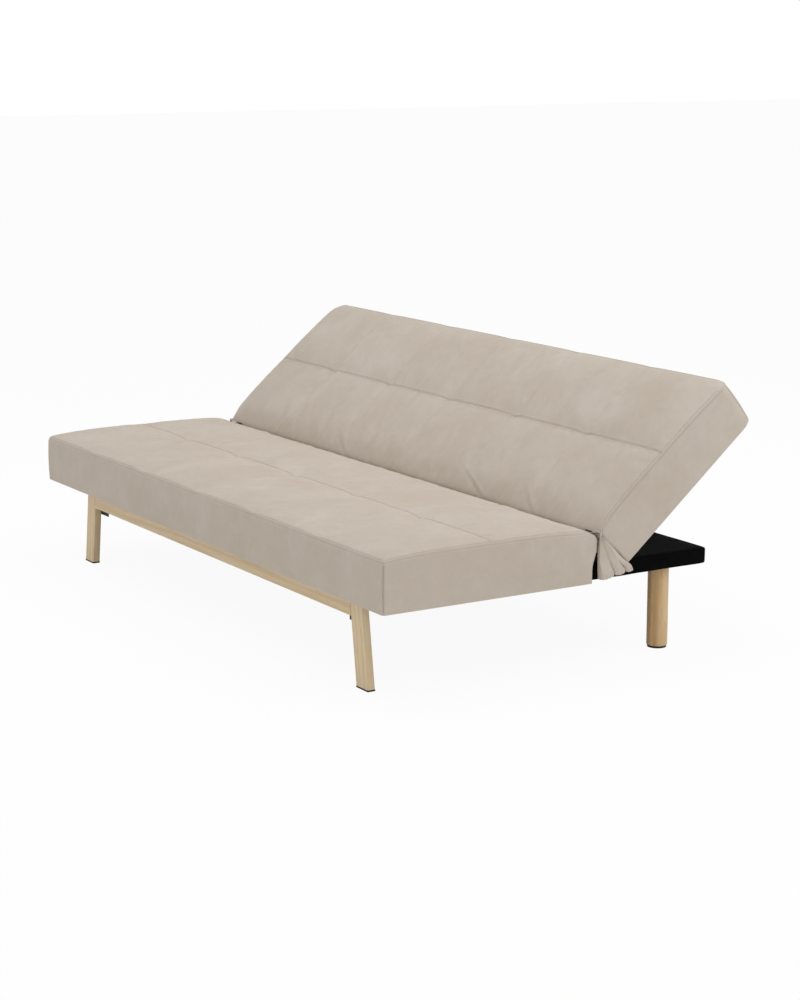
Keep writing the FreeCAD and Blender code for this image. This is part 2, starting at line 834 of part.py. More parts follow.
def front_frame():
    """Rail, two splayed legs and their end caps."""
    rail = new_body("front_frame_rail")
    high = f"({leg_edge('Layout.frame_top')} - Sizes.tube_width)"
    low = f"({leg_edge('Layout.rail_under')} - Sizes.tube_width)"
    roof = "Layout.frame_top - Sizes.tube_wall"
    ground = "Layout.rail_under + Sizes.tube_wall"
    tube(
        rail,
        [(f"-{low}", "Layout.rail_under"), (low, "Layout.rail_under"),
         (high, "Layout.frame_top"), (f"-{high}", "Layout.frame_top")],
        [(f"-{low} - 1", ground), (f"{low} + 1", ground),
         (f"{low} + 1", roof), (f"-{low} - 1", roof)],
    )
    for side, sign in SIDES.items():
        bolt_hole(rail, bolt_places(sign)[0], f"{side}_bolt_hole")
    keep(rail, "front_frame_rail")
    caps = []
    for side, sign in SIDES.items():
        leg = new_body(f"{side}_front_leg")
        tube(
            leg,
            slanted(sign, "Sizes.cap_height", "Layout.frame_top", "0"),
            slanted(sign, "Sizes.cap_height - 1", roof, "Sizes.tube_wall"),
        )
        bolt_hole(leg, bolt_places(sign)[1], "bolt_hole")
        keep(leg, f"{side}_front_leg")
        cap = new_body(f"{side}_front_cap")
        foot = slanted(sign, "0", "Sizes.cap_height", "0")
        pad(cap, polygon(flat_sketch(cap, "foot", "XZ_Plane", TUBE_MIDDLE), foot), "sole",
            "Sizes.tube_depth")
        inset = "(Sizes.tube_wall + Sizes.hole_clearance)"
        plug = slanted(sign, "Sizes.cap_height", "Sizes.cap_height + Sizes.cap_plug", inset)
        pad(cap, polygon(flat_sketch(cap, "plug", "XZ_Plane", TUBE_MIDDLE), plug), "stem",
            f"Sizes.tube_depth - 2 * {inset}")
        caps.append(cap)
    group("front_leg_caps", caps)


def front_brackets():
    """Black angle brackets that hang the front frame from the seat's front rail."""
    bolts = []
    screws = []
    under = "Layout.rail_under - Sizes.bracket_below"
    for side, sign in SIDES.items():
        ends = ("Layout.bracket_in", "Layout.bracket_out")
        if sign < 0:
            ends = ends[::-1]
        low = f"{sign} * {ends[0]}"
        high = f"{sign} * {ends[1]}"
        bracket = new_body(f"{side}_front_bracket")
        block(bracket, "upright", (low, "Layout.tube_back", under),
              (high, "Layout.tube_back + Sizes.bracket_plate", "Layout.base_top"))
        block(bracket, "flange", (low, "Layout.tube_front", "Layout.base_top - Sizes.bracket_plate"),
              (high, "Layout.tube_back + Sizes.bracket_plate", "Layout.base_top"))
        for number, place in enumerate(bolt_places(sign)):
            bolt_hole(bracket, place, f"bolt_hole_{number}")
            bolt = new_body(f"{side}_frame_bolt_{number}")
            rod(bolt, "head",
                (place[0], "Layout.tube_back + Sizes.bracket_plate", place[1]),
                "Sizes.bolt_head", "Sizes.bolt_head_height", "y")
            rod(bolt, "shank",
                (place[0], "Layout.tube_back + Sizes.bracket_plate - Sizes.bolt_length", place[1]),
                "Sizes.bolt_radius", "Sizes.bolt_length + 1", "y")
            bolts.append(bolt)
        across, along = screw_place(sign)
        bore(bracket, "screw_hole", (across, along, "Layout.base_top - Sizes.bracket_plate - 1"),
             "Sizes.screw_radius + Sizes.hole_clearance", "Sizes.bracket_plate + 2", "z")
        keep(bracket, f"{side}_front_bracket")
        screw = new_body(f"{side}_frame_screw")
        seat = "Layout.base_top - Sizes.bracket_plate"
        rod(screw, "head", (across, along, f"{seat} - Sizes.screw_head_height"),
            "Sizes.screw_head", "Sizes.screw_head_height", "z")
        rod(screw, "shank", (across, along, f"{seat} - 1"), "Sizes.screw_radius",
            "Sizes.screw_length + 1", "z")
        screws.append(screw)
    group("front_bracket_bolts", bolts)
    group("front_bracket_screws", screws)


def pilot_holes(cloth, rail):
    """Holes in the seat's dust cloth and front rail for the bracket screws."""
    for side, sign in SIDES.items():
        across, along = screw_place(sign)
        start = (f"-({across})", f"Layout.pivot_y - ({along})",
                 "Layout.seat_floor - Sizes.dust_cloth - 1")
        for body in (cloth, rail):
            bore(body, f"{side}_screw_hole", start,
                 "Sizes.screw_radius + Sizes.hole_clearance", "Sizes.screw_length + 1", "z")


# Ratchet hinges

def plate_outline(floor_shift):
    """A hinge plate's flat: from the pivot eye down to the frame's side rail."""
    under = f"Layout.plate_under + {floor_shift}"
    over = f"Layout.plate_over + {floor_shift}"
    return [
        ("0", "0.98 * Sizes.eye_radius"),
        ("Sizes.notch_far", over),
        ("Sizes.plate_reach", over),
        ("Sizes.plate_reach", under),
        ("Sizes.eye_radius", under),
        ("-0.98 * Sizes.eye_radius", "0"),
    ]


def plate_middle(local, inner):
    """The middle of a hinge layer, measured along X."""
    return f"{local} * ({inner} + Sizes.plate / 2)"


def plate_body(name, local, inner, outline):
    """A steel plate with its eye round the pivot."""
    body = new_body(name)
    middle = plate_middle(local, inner)
    flat = polygon(flat_sketch(body, "outline", "YZ_Plane", middle), outline)
    pad(body, flat, "flat", "Sizes.plate")
    start = plate_start(local, inner)
    rod(body, "eye", (start, "0", "0"), "Sizes.eye_radius", "Sizes.plate", "x")
    return body


def plate_start(local, inner):
    """The lower X of a hinge layer."""
    return f"{inner}" if local > 0 else f"-({inner} + Sizes.plate)"


def through(body, name, local, inner, place, radius):
    """A hole through one hinge layer."""
    start = f"{plate_start(local, inner)} - 1"
    bore(body, name, (start, place[0], place[1]), f"{radius} + Sizes.hole_clearance",
         "Sizes.plate + 2", "x")


PIVOT = ("0", "0")
PAWL_PIN = ("Layout.pin_y", "Layout.pin_z")


def screw_places(floor_shift):
    level = f"Layout.screw_level + {floor_shift}"
    return ("Sizes.screw_near", level), ("Sizes.screw_far", level)


def seat_plates(side, local):
    """The seat's two cheeks: the inner on the rail, the outer beyond the arm."""
    inner = plate_body(f"{side}_hinge_inner_plate", local, "Layout.inner_plate",
                       plate_outline("0"))
    through(inner, "pivot_hole", local, "Layout.inner_plate", PIVOT, "Sizes.pin_radius")
    through(inner, "pawl_hole", local, "Layout.inner_plate", PAWL_PIN, "Sizes.pawl_pin")
    for number, place in enumerate(screw_places("0")):
        through(inner, f"screw_hole_{number}", local, "Layout.inner_plate", place,
                "Sizes.screw_radius")
    keep(inner, f"{side}_hinge_inner_plate", "seat")

    link = [
        ("0", "0.98 * Sizes.eye_radius"),
        ("Layout.pin_y + Sizes.eye_radius / 2", "Layout.pin_z + Sizes.eye_radius"),
        ("Layout.pin_y + Sizes.eye_radius", "Layout.pin_z - Sizes.eye_radius"),
        ("Layout.pin_y - Sizes.eye_radius", "Layout.pin_z - Sizes.eye_radius"),
        ("-0.98 * Sizes.eye_radius", "0"),
    ]
    outer = plate_body(f"{side}_hinge_outer_plate", local, "Layout.outer_plate", link)
    through(outer, "pivot_hole", local, "Layout.outer_plate", PIVOT, "Sizes.pin_radius")
    through(outer, "pawl_hole", local, "Layout.outer_plate", PAWL_PIN, "Sizes.pawl_pin")
    keep(outer, f"{side}_hinge_outer_plate", "seat")


def back_arm(side, local):
    """The backrest's arm with its notched ratchet sector."""
    arm = plate_body(f"{side}_hinge_arm", local, "Layout.arm_plate",
                     plate_outline("Sizes.nest_clearance"))
    first = 180 - size("sector_margin") + size("pawl_dip") - size("fold_travel")
    sector = rod(arm, "sector", (plate_start(local, "Layout.arm_plate"), "0", "0"),
                 "Sizes.sector_radius", "Sizes.plate", "x")
    sector.setExpression("Angle", "Sizes.fold_travel + 2 * Sizes.sector_margin")
    turn = Rotation(Vector(1, 0, 0), first - 270)
    sector.Placement.Rotation = turn.multiply(AXES["x"])
    through(arm, "pivot_hole", local, "Layout.arm_plate", PIVOT, "Sizes.pin_radius")
    for number, place in enumerate(screw_places("Sizes.nest_clearance")):
        through(arm, f"screw_hole_{number}", local, "Layout.arm_plate", place,
                "Sizes.screw_radius")
    start = "(180 + Sizes.pawl_dip - Sizes.fold_travel)"
    notch = bore(
        arm, "notch",
        (f"{plate_start(local, 'Layout.arm_plate')} - 1",
         f"Sizes.sector_radius * cos({start})", f"Sizes.sector_radius * sin({start})"),
        "Sizes.notch_radius", "Sizes.plate + 2", "x",
    )
    doc.recompute()
    ring = arm.newObject("PartDesign::PolarPattern", "clicks")
    ring.Originals = [notch]
    axis = [line for line in arm.Origin.OriginFeatures if line.Role == "X_Axis"][0]
    ring.Axis = (axis, [""])
    ring.setExpression("Angle", "Sizes.fold_travel")
    ring.setExpression("Occurrences", "Sizes.click_count")
    arm.Tip = ring
    keep(arm, f"{side}_hinge_arm", "back")


def pawl(side, local):
    """The catch that rides on the ratchet's rim and drops into its notches."""
    body = new_body(f"{side}_pawl")
    middle = plate_middle(local, "Layout.arm_plate")
    start = plate_start(local, "Layout.arm_plate")
    across = "cos(Layout.ride)"
    up = "-sin(Layout.ride)"
    pin = ("Layout.pin_y", "Layout.pin_z")
    nose = ("Layout.nose_y", "Layout.nose_z")
    shank = []
    for place, reach in (
        (pin, "0.98 * Sizes.pawl_eye"),
        (pin, "-0.5 * Sizes.pawl_eye"),
        (nose, "Sizes.pawl_hook"),
        (nose, "Sizes.pawl_hook + 1.5 * Sizes.pawl_nose"),
    ):
        shank.append((f"{place[0]} + ({reach}) * {across}", f"{place[1]} + ({reach}) * {up}"))
    flat = polygon(flat_sketch(body, "shank_outline", "YZ_Plane", middle), shank)
    pad(body, flat, "shank", "Sizes.plate")
    rod(body, "eye", (start, "Layout.pin_y", "Layout.pin_z"), "Sizes.pawl_eye",
        "Sizes.plate", "x")
    rod(body, "nose", (start, "Layout.nose_y", "Layout.nose_z"), "Sizes.pawl_nose",
        "Sizes.plate", "x")
    through(body, "pin_hole", local, "Layout.arm_plate", PAWL_PIN, "Sizes.pawl_pin")
    keep(body, f"{side}_pawl", "seat")


def layer_rod(name, local, place, radius, inner, outer):
    """A round bar between two distances from the sofa's middle."""
    body = new_body(name)
    add_layer(body, "shank", local, place, radius, inner, outer)
    return body


def add_layer(body, name, local, place, radius, inner, outer):
    start = inner if local > 0 else f"-({outer})"
    return rod(body, name, (start, place[0], place[1]), radius, f"({outer}) - ({inner})", "x")


def ring(name, local, place, bore_radius, radius, inner, outer):
    """A washer between two distances from the sofa's middle."""
    body = layer_rod(name, local, place, radius, inner, outer)
    start = inner if local > 0 else f"-({outer})"
    bore(body, "hole", (f"{start} - 1", place[0], place[1]),
         f"{bore_radius} + Sizes.hole_clearance", f"({outer}) - ({inner}) + 2", "x")
    return body


def hinge_hardware():
    """Pivot bolts, nuts, washers, pawl pins, pawl springs and screws of both hinges."""
    bolts = []
    nuts = []
    washers = []
    pins = []
    coils = []
    seat_screws = []
    back_screws = []
    for side, sign in SIDES.items():
        local = -sign
        nut_in = "(Layout.inner_plate - Sizes.nut_height)"
        bolt = layer_rod(f"{side}_pivot_bolt", local, PIVOT, "Sizes.pin_radius",
                         f"{nut_in} - 1", "Layout.hinge_out + 1")
        add_layer(bolt, "head", local, PIVOT, "Sizes.pin_head", "Layout.hinge_out",
                  "Layout.hinge_out + Sizes.pin_head_height")
        bolts.append(bolt)

        nut = new_body(f"{side}_pivot_nut")
        hexagon = nut.newObject("PartDesign::AdditivePrism", "hexagon")
        hexagon.Polygon = 6
        hexagon.Placement.Rotation = AXES["x"]
        hexagon.setExpression("Circumradius", "Sizes.nut_width / 2")
        hexagon.setExpression("Height", "Sizes.nut_height")
        nut_start = nut_in if local > 0 else "-Layout.inner_plate"
        hexagon.setExpression("Placement.Base.x", nut_start)
        bore(nut, "thread", (f"{nut_start} - 1", "0", "0"),
             "Sizes.pin_radius + Sizes.hole_clearance", "Sizes.nut_height + 2", "x")
        nuts.append(nut)

        for number, inner in enumerate(("Layout.inner_plate", "Layout.arm_plate")):
            low = f"{inner} + Sizes.plate"
            washers.append(ring(f"{side}_washer_{number}", local, PIVOT, "Sizes.pin_radius",
                                "0.9 * Sizes.eye_radius", low, f"{low} + Sizes.layer_gap"))

        pin = layer_rod(f"{side}_pawl_pin", local, PAWL_PIN, "Sizes.pawl_pin",
                        "Layout.inner_plate", "Layout.hinge_out + 1")
        add_layer(pin, "head", local, PAWL_PIN, "1.6 * Sizes.pawl_pin", "Layout.hinge_out",
                  "Layout.hinge_out + Sizes.layer_gap")
        pins.append(pin)
        coils.append(pawl_coil(side, local))

        for number, place in enumerate(screw_places("0")):
            low = "Layout.inner_plate + Sizes.plate"
            screw = layer_rod(f"{side}_seat_screw_{number}", local, place, "Sizes.screw_radius",
                              f"{low} - Sizes.screw_length", f"{low} + 1")
            add_layer(screw, "head", local, place, "Sizes.screw_head", low,
                      f"{low} + Sizes.screw_head_height")
            seat_screws.append(screw)
        for number, place in enumerate(screw_places("Sizes.nest_clearance")):
            low = "Layout.arm_plate + Sizes.plate"
            screw = layer_rod(f"{side}_back_screw_{number}", sign, place, "Sizes.screw_radius",
                              f"{low} - Sizes.screw_length", f"{low} + 1")
            add_layer(screw, "head", sign, place, "Sizes.screw_head", low,
                      f"{low} + Sizes.screw_head_height")
            back_screws.append(screw)
    group("hinge_pivot_bolts", bolts, "seat")
    group("hinge_pivot_nuts", nuts, "seat")
    group("hinge_washers", washers, "seat")
    group("hinge_pawl_pins", pins, "seat")
    group("hinge_pawl_springs", coils, "seat")
    group("hinge_seat_screws", seat_screws, "seat")
    group("hinge_back_screws", back_screws, "back")


def pawl_coil(side, local):
    """The small coil round the pawl's pin, between the pawl and the outer cheek."""
    wire = size("coil_wire")
    turns = size("coil_turns")
    room = size("layer_gap")
    pitch = (room - 1.2 * wire) / turns
    radius = size("pawl_pin") + wire
    helix = Part.makeHelix(pitch, pitch * turns, radius)
    start = Vector(radius, 0, 0)
    section = Part.Wire([Part.Circle(start, Vector(0, 1, 0), wire / 2).toShape()])
    coil = Part.Wire(helix.Edges).makePipeShell([section], True, True)
    inner = spot("arm_plate") + size("plate")
    low = inner if local > 0 else -(inner + room)
    coil.Placement = FreeCAD.Placement(
        Vector(low + 0.6 * wire, spot("pin_y"), spot("pin_z")), AXES["x"])
    feature = doc.addObject("Part::Feature", f"{side}_pawl_spring")
    feature.Shape = coil
    return feature


# Gathered cloth that hangs over each hinge

def flap_section(sign, level, share):
    """The flap's closed outline at one height: scalloped outside, flat inside."""
    folds = int(size("flap_folds"))
    inner = spot("half_length") + size("foam_gap")
    body = inner + size("flap_thickness")
    start = spot("pivot_y") - spot("near") - 1
    width = size("flap_top_width") + (size("flap_width") - size("flap_top_width")) * share
    fold = size("flap_fold") * width / size("flap_width")

    def at(across, along):
        return Vector(sign * across, along, level)

    edges = []
    step = width / folds
    for number in range(folds):
        first = start + step * number
        edges.append(Part.Arc(at(body, first), at(body + fold, first + step / 2),
                              at(body, first + step)))
    edges.append(Part.LineSegment(at(body, start + width), at(inner, start + width)))
    edges.append(Part.LineSegment(at(inner, start + width), at(inner, start)))
    edges.append(Part.LineSegment(at(inner, start), at(body, start)))
    return Part.Wire([edge.toShape() for edge in edges])


def hinge_flap(side, sign):
    """One flap: narrow at the crease and wide at its gathered hem."""
    top = size("seat_height") + size("flap_lift")
    hem = top - size("flap_length")
    sections = []
    for share in (0.0, 0.35, 0.7, 1.0):
        sections.append(flap_section(sign, top + (hem - top) * share, share))
    flap = doc.addObject("Part::Feature", f"{side}_hinge_flap")
    flap.Shape = Part.makeLoft(sections, True, True)
    keep(flap, f"{side}_hinge_flap")


# The whole sofa

for slab_name, slab_facts in SLABS.items():
    slab_cover(slab_name, slab_facts)
    slab_foam(slab_name, slab_facts)
    near_bar, far_bar = slab_frame(slab_name, slab_facts)
    under_cloth = slab_dust_cloth(slab_name, slab_facts)
    if slab_name == "seat":
        pilot_holes(under_cloth, far_bar)
seat_springs()
back_straps()
base_box()
leg_blocks()
rear_legs()
bumpers()
front_frame()
front_brackets()
for side_name, side_sign in SIDES.items():
    seat_plates(side_name, -side_sign)
    back_arm(side_name, side_sign)
    pawl(side_name, -side_sign)
    hinge_flap(side_name, side_sign)
hinge_hardware()

doc.recompute()

# Every object has to be sound before a file is written
for thing in doc.Objects:
    if "Invalid" in thing.State or "Error" in thing.State:
        raise RuntimeError(f"{thing.Name} did not build: {thing.State}")
for piece in parts:
    if piece.Shape.isNull() or not piece.Shape.isValid() or not piece.Shape.Solids:
        raise RuntimeError(f"{piece.Label} has no sound solid")

os.makedirs("parts", exist_ok=True)
for piece in parts:
    piece.Shape.exportStep(f"parts/{piece.Label}.step")
    box = piece.Shape.BoundBox
    print(f"{piece.Label}: {len(piece.Shape.Solids)} solids, "
          f"{piece.Shape.Volume / 1000:.1f} cm3, "
          f"X {box.XMin:.1f} {box.XMax:.1f} Y {box.YMin:.1f} {box.YMax:.1f} "
          f"Z {box.ZMin:.1f} {box.ZMax:.1f}")
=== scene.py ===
import json
import math

import bpy
import numpy as np
from mathutils import Matrix, Vector, noise
from mathutils.bvhtree import BVHTree


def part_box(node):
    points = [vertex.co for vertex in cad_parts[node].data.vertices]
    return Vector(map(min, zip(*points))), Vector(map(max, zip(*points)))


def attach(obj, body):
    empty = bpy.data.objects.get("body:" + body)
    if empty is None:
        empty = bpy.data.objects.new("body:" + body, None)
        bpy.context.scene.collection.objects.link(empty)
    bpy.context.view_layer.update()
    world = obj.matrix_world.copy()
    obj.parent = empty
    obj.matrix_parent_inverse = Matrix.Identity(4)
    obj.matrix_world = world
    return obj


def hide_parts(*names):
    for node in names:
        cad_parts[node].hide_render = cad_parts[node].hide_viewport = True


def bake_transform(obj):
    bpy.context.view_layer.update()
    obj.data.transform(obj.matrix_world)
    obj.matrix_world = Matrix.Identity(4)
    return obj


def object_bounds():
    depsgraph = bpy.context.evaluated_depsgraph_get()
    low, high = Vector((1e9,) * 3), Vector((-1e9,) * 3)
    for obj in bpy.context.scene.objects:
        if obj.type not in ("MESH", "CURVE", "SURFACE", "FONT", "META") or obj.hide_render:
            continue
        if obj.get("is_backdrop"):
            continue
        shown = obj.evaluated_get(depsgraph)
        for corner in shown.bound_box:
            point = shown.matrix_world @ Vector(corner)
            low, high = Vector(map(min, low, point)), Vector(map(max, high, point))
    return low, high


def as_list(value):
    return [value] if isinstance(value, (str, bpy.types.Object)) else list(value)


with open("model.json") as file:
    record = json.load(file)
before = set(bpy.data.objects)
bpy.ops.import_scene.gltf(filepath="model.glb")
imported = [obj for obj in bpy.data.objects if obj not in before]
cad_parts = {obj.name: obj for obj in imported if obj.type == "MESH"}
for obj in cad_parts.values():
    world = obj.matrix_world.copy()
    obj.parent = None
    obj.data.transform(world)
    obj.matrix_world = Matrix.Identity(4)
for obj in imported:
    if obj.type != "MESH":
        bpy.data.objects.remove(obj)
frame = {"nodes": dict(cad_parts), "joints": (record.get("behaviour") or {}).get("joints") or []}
cad_low, cad_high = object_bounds()

MM = 0.001

# The slabs, as in the model: origin on the hinge, Y away from it, Z up when the slab lies flat
hinge = [joint for joint in frame["joints"] if joint["name"] == "backrest_hinge"][0]
PIVOT = Vector(hinge["pos_m"])
REST_ANGLE = math.radians(40)
LENGTH = 1800 * MM
THICK = 115 * MM
EDGE_TOP = 14 * MM
UNDER = EDGE_TOP - THICK
NEAR = 3 * MM
SEAT_DEPTH = 575 * MM
BACK_DEPTH = 495 * MM
CREASE_ROUND = 18 * MM
CROWN = 26 * MM
END_CROWN = 9 * MM
ROW_DIP = 6 * MM
SHOULDER = 7 * MM
COLUMN = 300 * MM
CORNER_ROUND = 9 * MM

# Seams: the loops beside each seam, and how near a point has to be to lie on one
SEAM_LIP = 2.5 * MM
SEAM_STITCH = 6 * MM
LIP_TO_STITCH = 3.5 * MM
ON_SEAM = 0.1 * MM
BY_SEAM = 0.6 * MM

# The cloth simulation's length, and the most that a point may move in it
CLOTH_STEPS = 20
CLOTH_CAP = 24 * MM

# Room for a hinge in a slab's end: the plates' place across, the slot's reach along, its levels
HINGE_INNER, HINGE_OUTER = 838 * MM, 868 * MM
SLOT_NEAR, SLOT_FAR = -8 * MM, 62 * MM
SLOT_LOW, SLOT_HIGH = -95 * MM, 8 * MM

SEAT_PLACE = Matrix.Translation(PIVOT) @ Matrix.Rotation(math.pi, 4, "Z")
BACK_PLACE = Matrix.Translation(PIVOT) @ Matrix.Rotation(REST_ANGLE, 4, "X")


# Colours and material nodes

def srgb(code, alpha=1.0):
    """An sRGB hex colour as linear red, green and blue."""
    parts = [int(code[place:place + 2], 16) / 255 for place in (1, 3, 5)]
    linear = [part / 12.92 if part <= 0.04045 else ((part + 0.055) / 1.055) ** 2.4
              for part in parts]
    return (*linear, alpha)


def add(material, kind, inputs=None, **settings):
    """Adds a node to a material, with its settings, values and links."""
    node = material.node_tree.nodes.new(kind)
    for name, value in settings.items():
        setattr(node, name, value)
    for name, value in (inputs or {}).items():
        if isinstance(value, bpy.types.NodeSocket):
            material.node_tree.links.new(value, node.inputs[name])
        else:
            node.inputs[name].default_value = value
    return node


def new_material(name):
    """A material with its shader, and the object coordinates that its patterns use."""
    material = bpy.data.materials.new(name)
    material.use_nodes = True
    shader = material.node_tree.nodes["Principled BSDF"]
    place = add(material, "ShaderNodeTexCoord").outputs["Object"]
    return material, shader, place


def ramp(material, factor, stops):
    """A colour ramp from pairs of place and hex colour."""
    node = add(material, "ShaderNodeValToRGB", {"Fac": factor})
    while len(node.color_ramp.elements) < len(stops):
        node.color_ramp.elements.new(0.5)
    for element, (place, code) in zip(node.color_ramp.elements, stops):
        element.position = place
        element.color = srgb(code)
    return node.outputs["Color"]


def mixed(material, first, second, share, mode="MIX"):
    """Two colours mixed by a share."""
    node = add(material, "ShaderNodeMix", data_type="RGBA", blend_type=mode)
    link = material.node_tree.links.new
    for place, value in ((0, share), (6, first), (7, second)):
        if isinstance(value, bpy.types.NodeSocket):
            link(value, node.inputs[place])
        else:
            node.inputs[place].default_value = value
    return node.outputs[2]


def microfibre():
    """Brushed polyester microfibre with a suede nap: matt, softly mottled where the nap lies
    one way or the other, with a faint velvety edge."""
    material, shader, place = new_material("beige_microfibre")
    link = material.node_tree.links.new
    clouds = add(material, "ShaderNodeTexNoise",
                 {"Vector": place, "Scale": 6.0, "Detail": 4.0, "Roughness": 0.55,
                  "Distortion": 0.5})
    strokes = add(material, "ShaderNodeTexNoise",
                  {"Vector": place, "Scale": 26.0, "Detail": 4.0, "Roughness": 0.6,
                   "Distortion": 1.0})
    fine = add(material, "ShaderNodeTexNoise",
               {"Vector": place, "Scale": 420.0, "Detail": 2.0, "Roughness": 0.6})
    both = add(material, "ShaderNodeMath", {0: clouds.outputs["Fac"], 1: 0.55},
               operation="MULTIPLY")
    rest = add(material, "ShaderNodeMath", {0: strokes.outputs["Fac"], 1: 0.30, 2: both.outputs[0]},
               operation="MULTIPLY_ADD")
    nap_tone = add(material, "ShaderNodeMath",
                   {0: fine.outputs["Fac"], 1: 0.15, 2: rest.outputs[0]},
                   operation="MULTIPLY_ADD")
    colour = ramp(material, nap_tone.outputs[0],
                  [(0.34, "#BFB4A5"), (0.47, "#C3B8AB"), (0.56, "#C7BCB0"), (0.68, "#CBC1B6")])
    # Painted shade: the seam attribute darkens the cloth towards #6F6354 in the seam ditches, where
    # shade falls
    seam = add(material, "ShaderNodeAttribute", attribute_name="seam").outputs["Fac"]
    seam_shade = add(material, "ShaderNodeMath", {0: seam, 1: 0.34}, operation="MULTIPLY")
    link(mixed(material, colour, srgb("#6F6354"), seam_shade.outputs[0]), shader.inputs["Base Color"])
    # The fibres are about 0.1 mm apart, drawn here at 1 mm so that they show
    fibres = add(material, "ShaderNodeTexNoise",
                 {"Vector": place, "Scale": 900.0, "Detail": 3.0, "Roughness": 0.7})
    nap = add(material, "ShaderNodeBump",
              {"Strength": 0.14, "Distance": 0.5 * MM, "Height": fibres.outputs["Fac"]})
    soft = add(material, "ShaderNodeBump",
               {"Strength": 0.16, "Distance": 1.5 * MM, "Height": strokes.outputs["Fac"],
                "Normal": nap.outputs["Normal"]})
    link(soft.outputs["Normal"], shader.inputs["Normal"])
    shader.inputs["Roughness"].default_value = 0.94
    shader.inputs["Specular IOR Level"].default_value = 0.16
    shader.inputs["Sheen Weight"].default_value = 0.14
    shader.inputs["Sheen Roughness"].default_value = 0.45
    shader.inputs["Sheen Tint"].default_value = srgb("#EFE7DC")
    return material


def grained(name, along, stops, flecks, gloss, coat=0.0):
    """Wood, or a wood-effect foil: long bands and fine fibres that run along one direction."""
    material, shader, place = new_material(name)
    link = material.node_tree.links.new
    turn = Vector(along).to_track_quat("X", "Z").to_euler()
    laid = add(material, "ShaderNodeMapping",
               {"Vector": place, "Rotation": turn, "Scale": (13, 1, 1)},
               vector_type="TEXTURE").outputs["Vector"]
    bands = add(material, "ShaderNodeTexWave",
                {"Vector": laid, "Scale": 16.0, "Distortion": 7.0, "Detail": 3.0,
                 "Detail Scale": 1.4, "Detail Roughness": 0.6}, bands_direction="Z", wave_profile="SIN")
    clouds = add(material, "ShaderNodeTexNoise",
                 {"Vector": laid, "Scale": 45.0, "Detail": 4.0, "Roughness": 0.6})
    fibres = add(material, "ShaderNodeTexNoise",
                 {"Vector": laid, "Scale": 620.0, "Detail": 2.0, "Roughness": 0.6})
    tone = add(material, "ShaderNodeMath", {0: bands.outputs["Fac"], 1: 0.35}, operation="MULTIPLY")
    tone = add(material, "ShaderNodeMath", {0: clouds.outputs["Fac"], 1: 0.65, 2: tone.outputs[0]},
               operation="MULTIPLY_ADD")
    ground = ramp(material, tone.outputs[0], stops)
    dashes = add(material, "ShaderNodeTexNoise",
                 {"Vector": laid, "Scale": 300.0, "Detail": 1.0, "Roughness": 0.5})
    marks = add(material, "ShaderNodeMapRange", {"Value": dashes.outputs["Fac"], "From Min": 0.60,
                                                 "From Max": 0.72, "To Min": 0.0, "To Max": 0.55})
    link(mixed(material, ground, srgb(flecks), marks.outputs[0]), shader.inputs["Base Color"])
    rough = add(material, "ShaderNodeMapRange",
                {"Value": fibres.outputs["Fac"], "To Min": gloss - 0.06, "To Max": gloss + 0.08})
    link(rough.outputs[0], shader.inputs["Roughness"])
    bump = add(material, "ShaderNodeBump",
               {"Strength": 0.12, "Distance": 0.3 * MM, "Height": fibres.outputs["Fac"]})
    link(bump.outputs["Normal"], shader.inputs["Normal"])
    shader.inputs["Specular IOR Level"].default_value = 0.4
    shader.inputs["Coat Weight"].default_value = coat
    shader.inputs["Coat Roughness"].default_value = 0.3
    return material


def surfaced(name, stops, rough, scale, bump, metal=0.0, specular=0.5):
    """A hard surface with a fine texture: powder coat, moulding, plating or rubber."""
    material, shader, place = new_material(name)
    link = material.node_tree.links.new
    broad = add(material, "ShaderNodeTexNoise",
                {"Vector": place, "Scale": scale / 12, "Detail": 5.0, "Roughness": 0.6})
    fine = add(material, "ShaderNodeTexNoise",
               {"Vector": place, "Scale": scale, "Detail": 3.0, "Roughness": 0.6})
    link(ramp(material, broad.outputs["Fac"], stops), shader.inputs["Base Color"])
    spread = add(material, "ShaderNodeMapRange",
                 {"Value": broad.outputs["Fac"], "From Min": 0.3, "From Max": 0.7,
                  "To Min": rough[0], "To Max": rough[1]})
    link(spread.outputs[0], shader.inputs["Roughness"])
    relief = add(material, "ShaderNodeBump",
                 {"Strength": bump, "Distance": 0.2 * MM, "Height": fine.outputs["Fac"]})
    link(relief.outputs["Normal"], shader.inputs["Normal"])
    shader.inputs["Metallic"].default_value = metal
    shader.inputs["Specular IOR Level"].default_value = specular
    return material


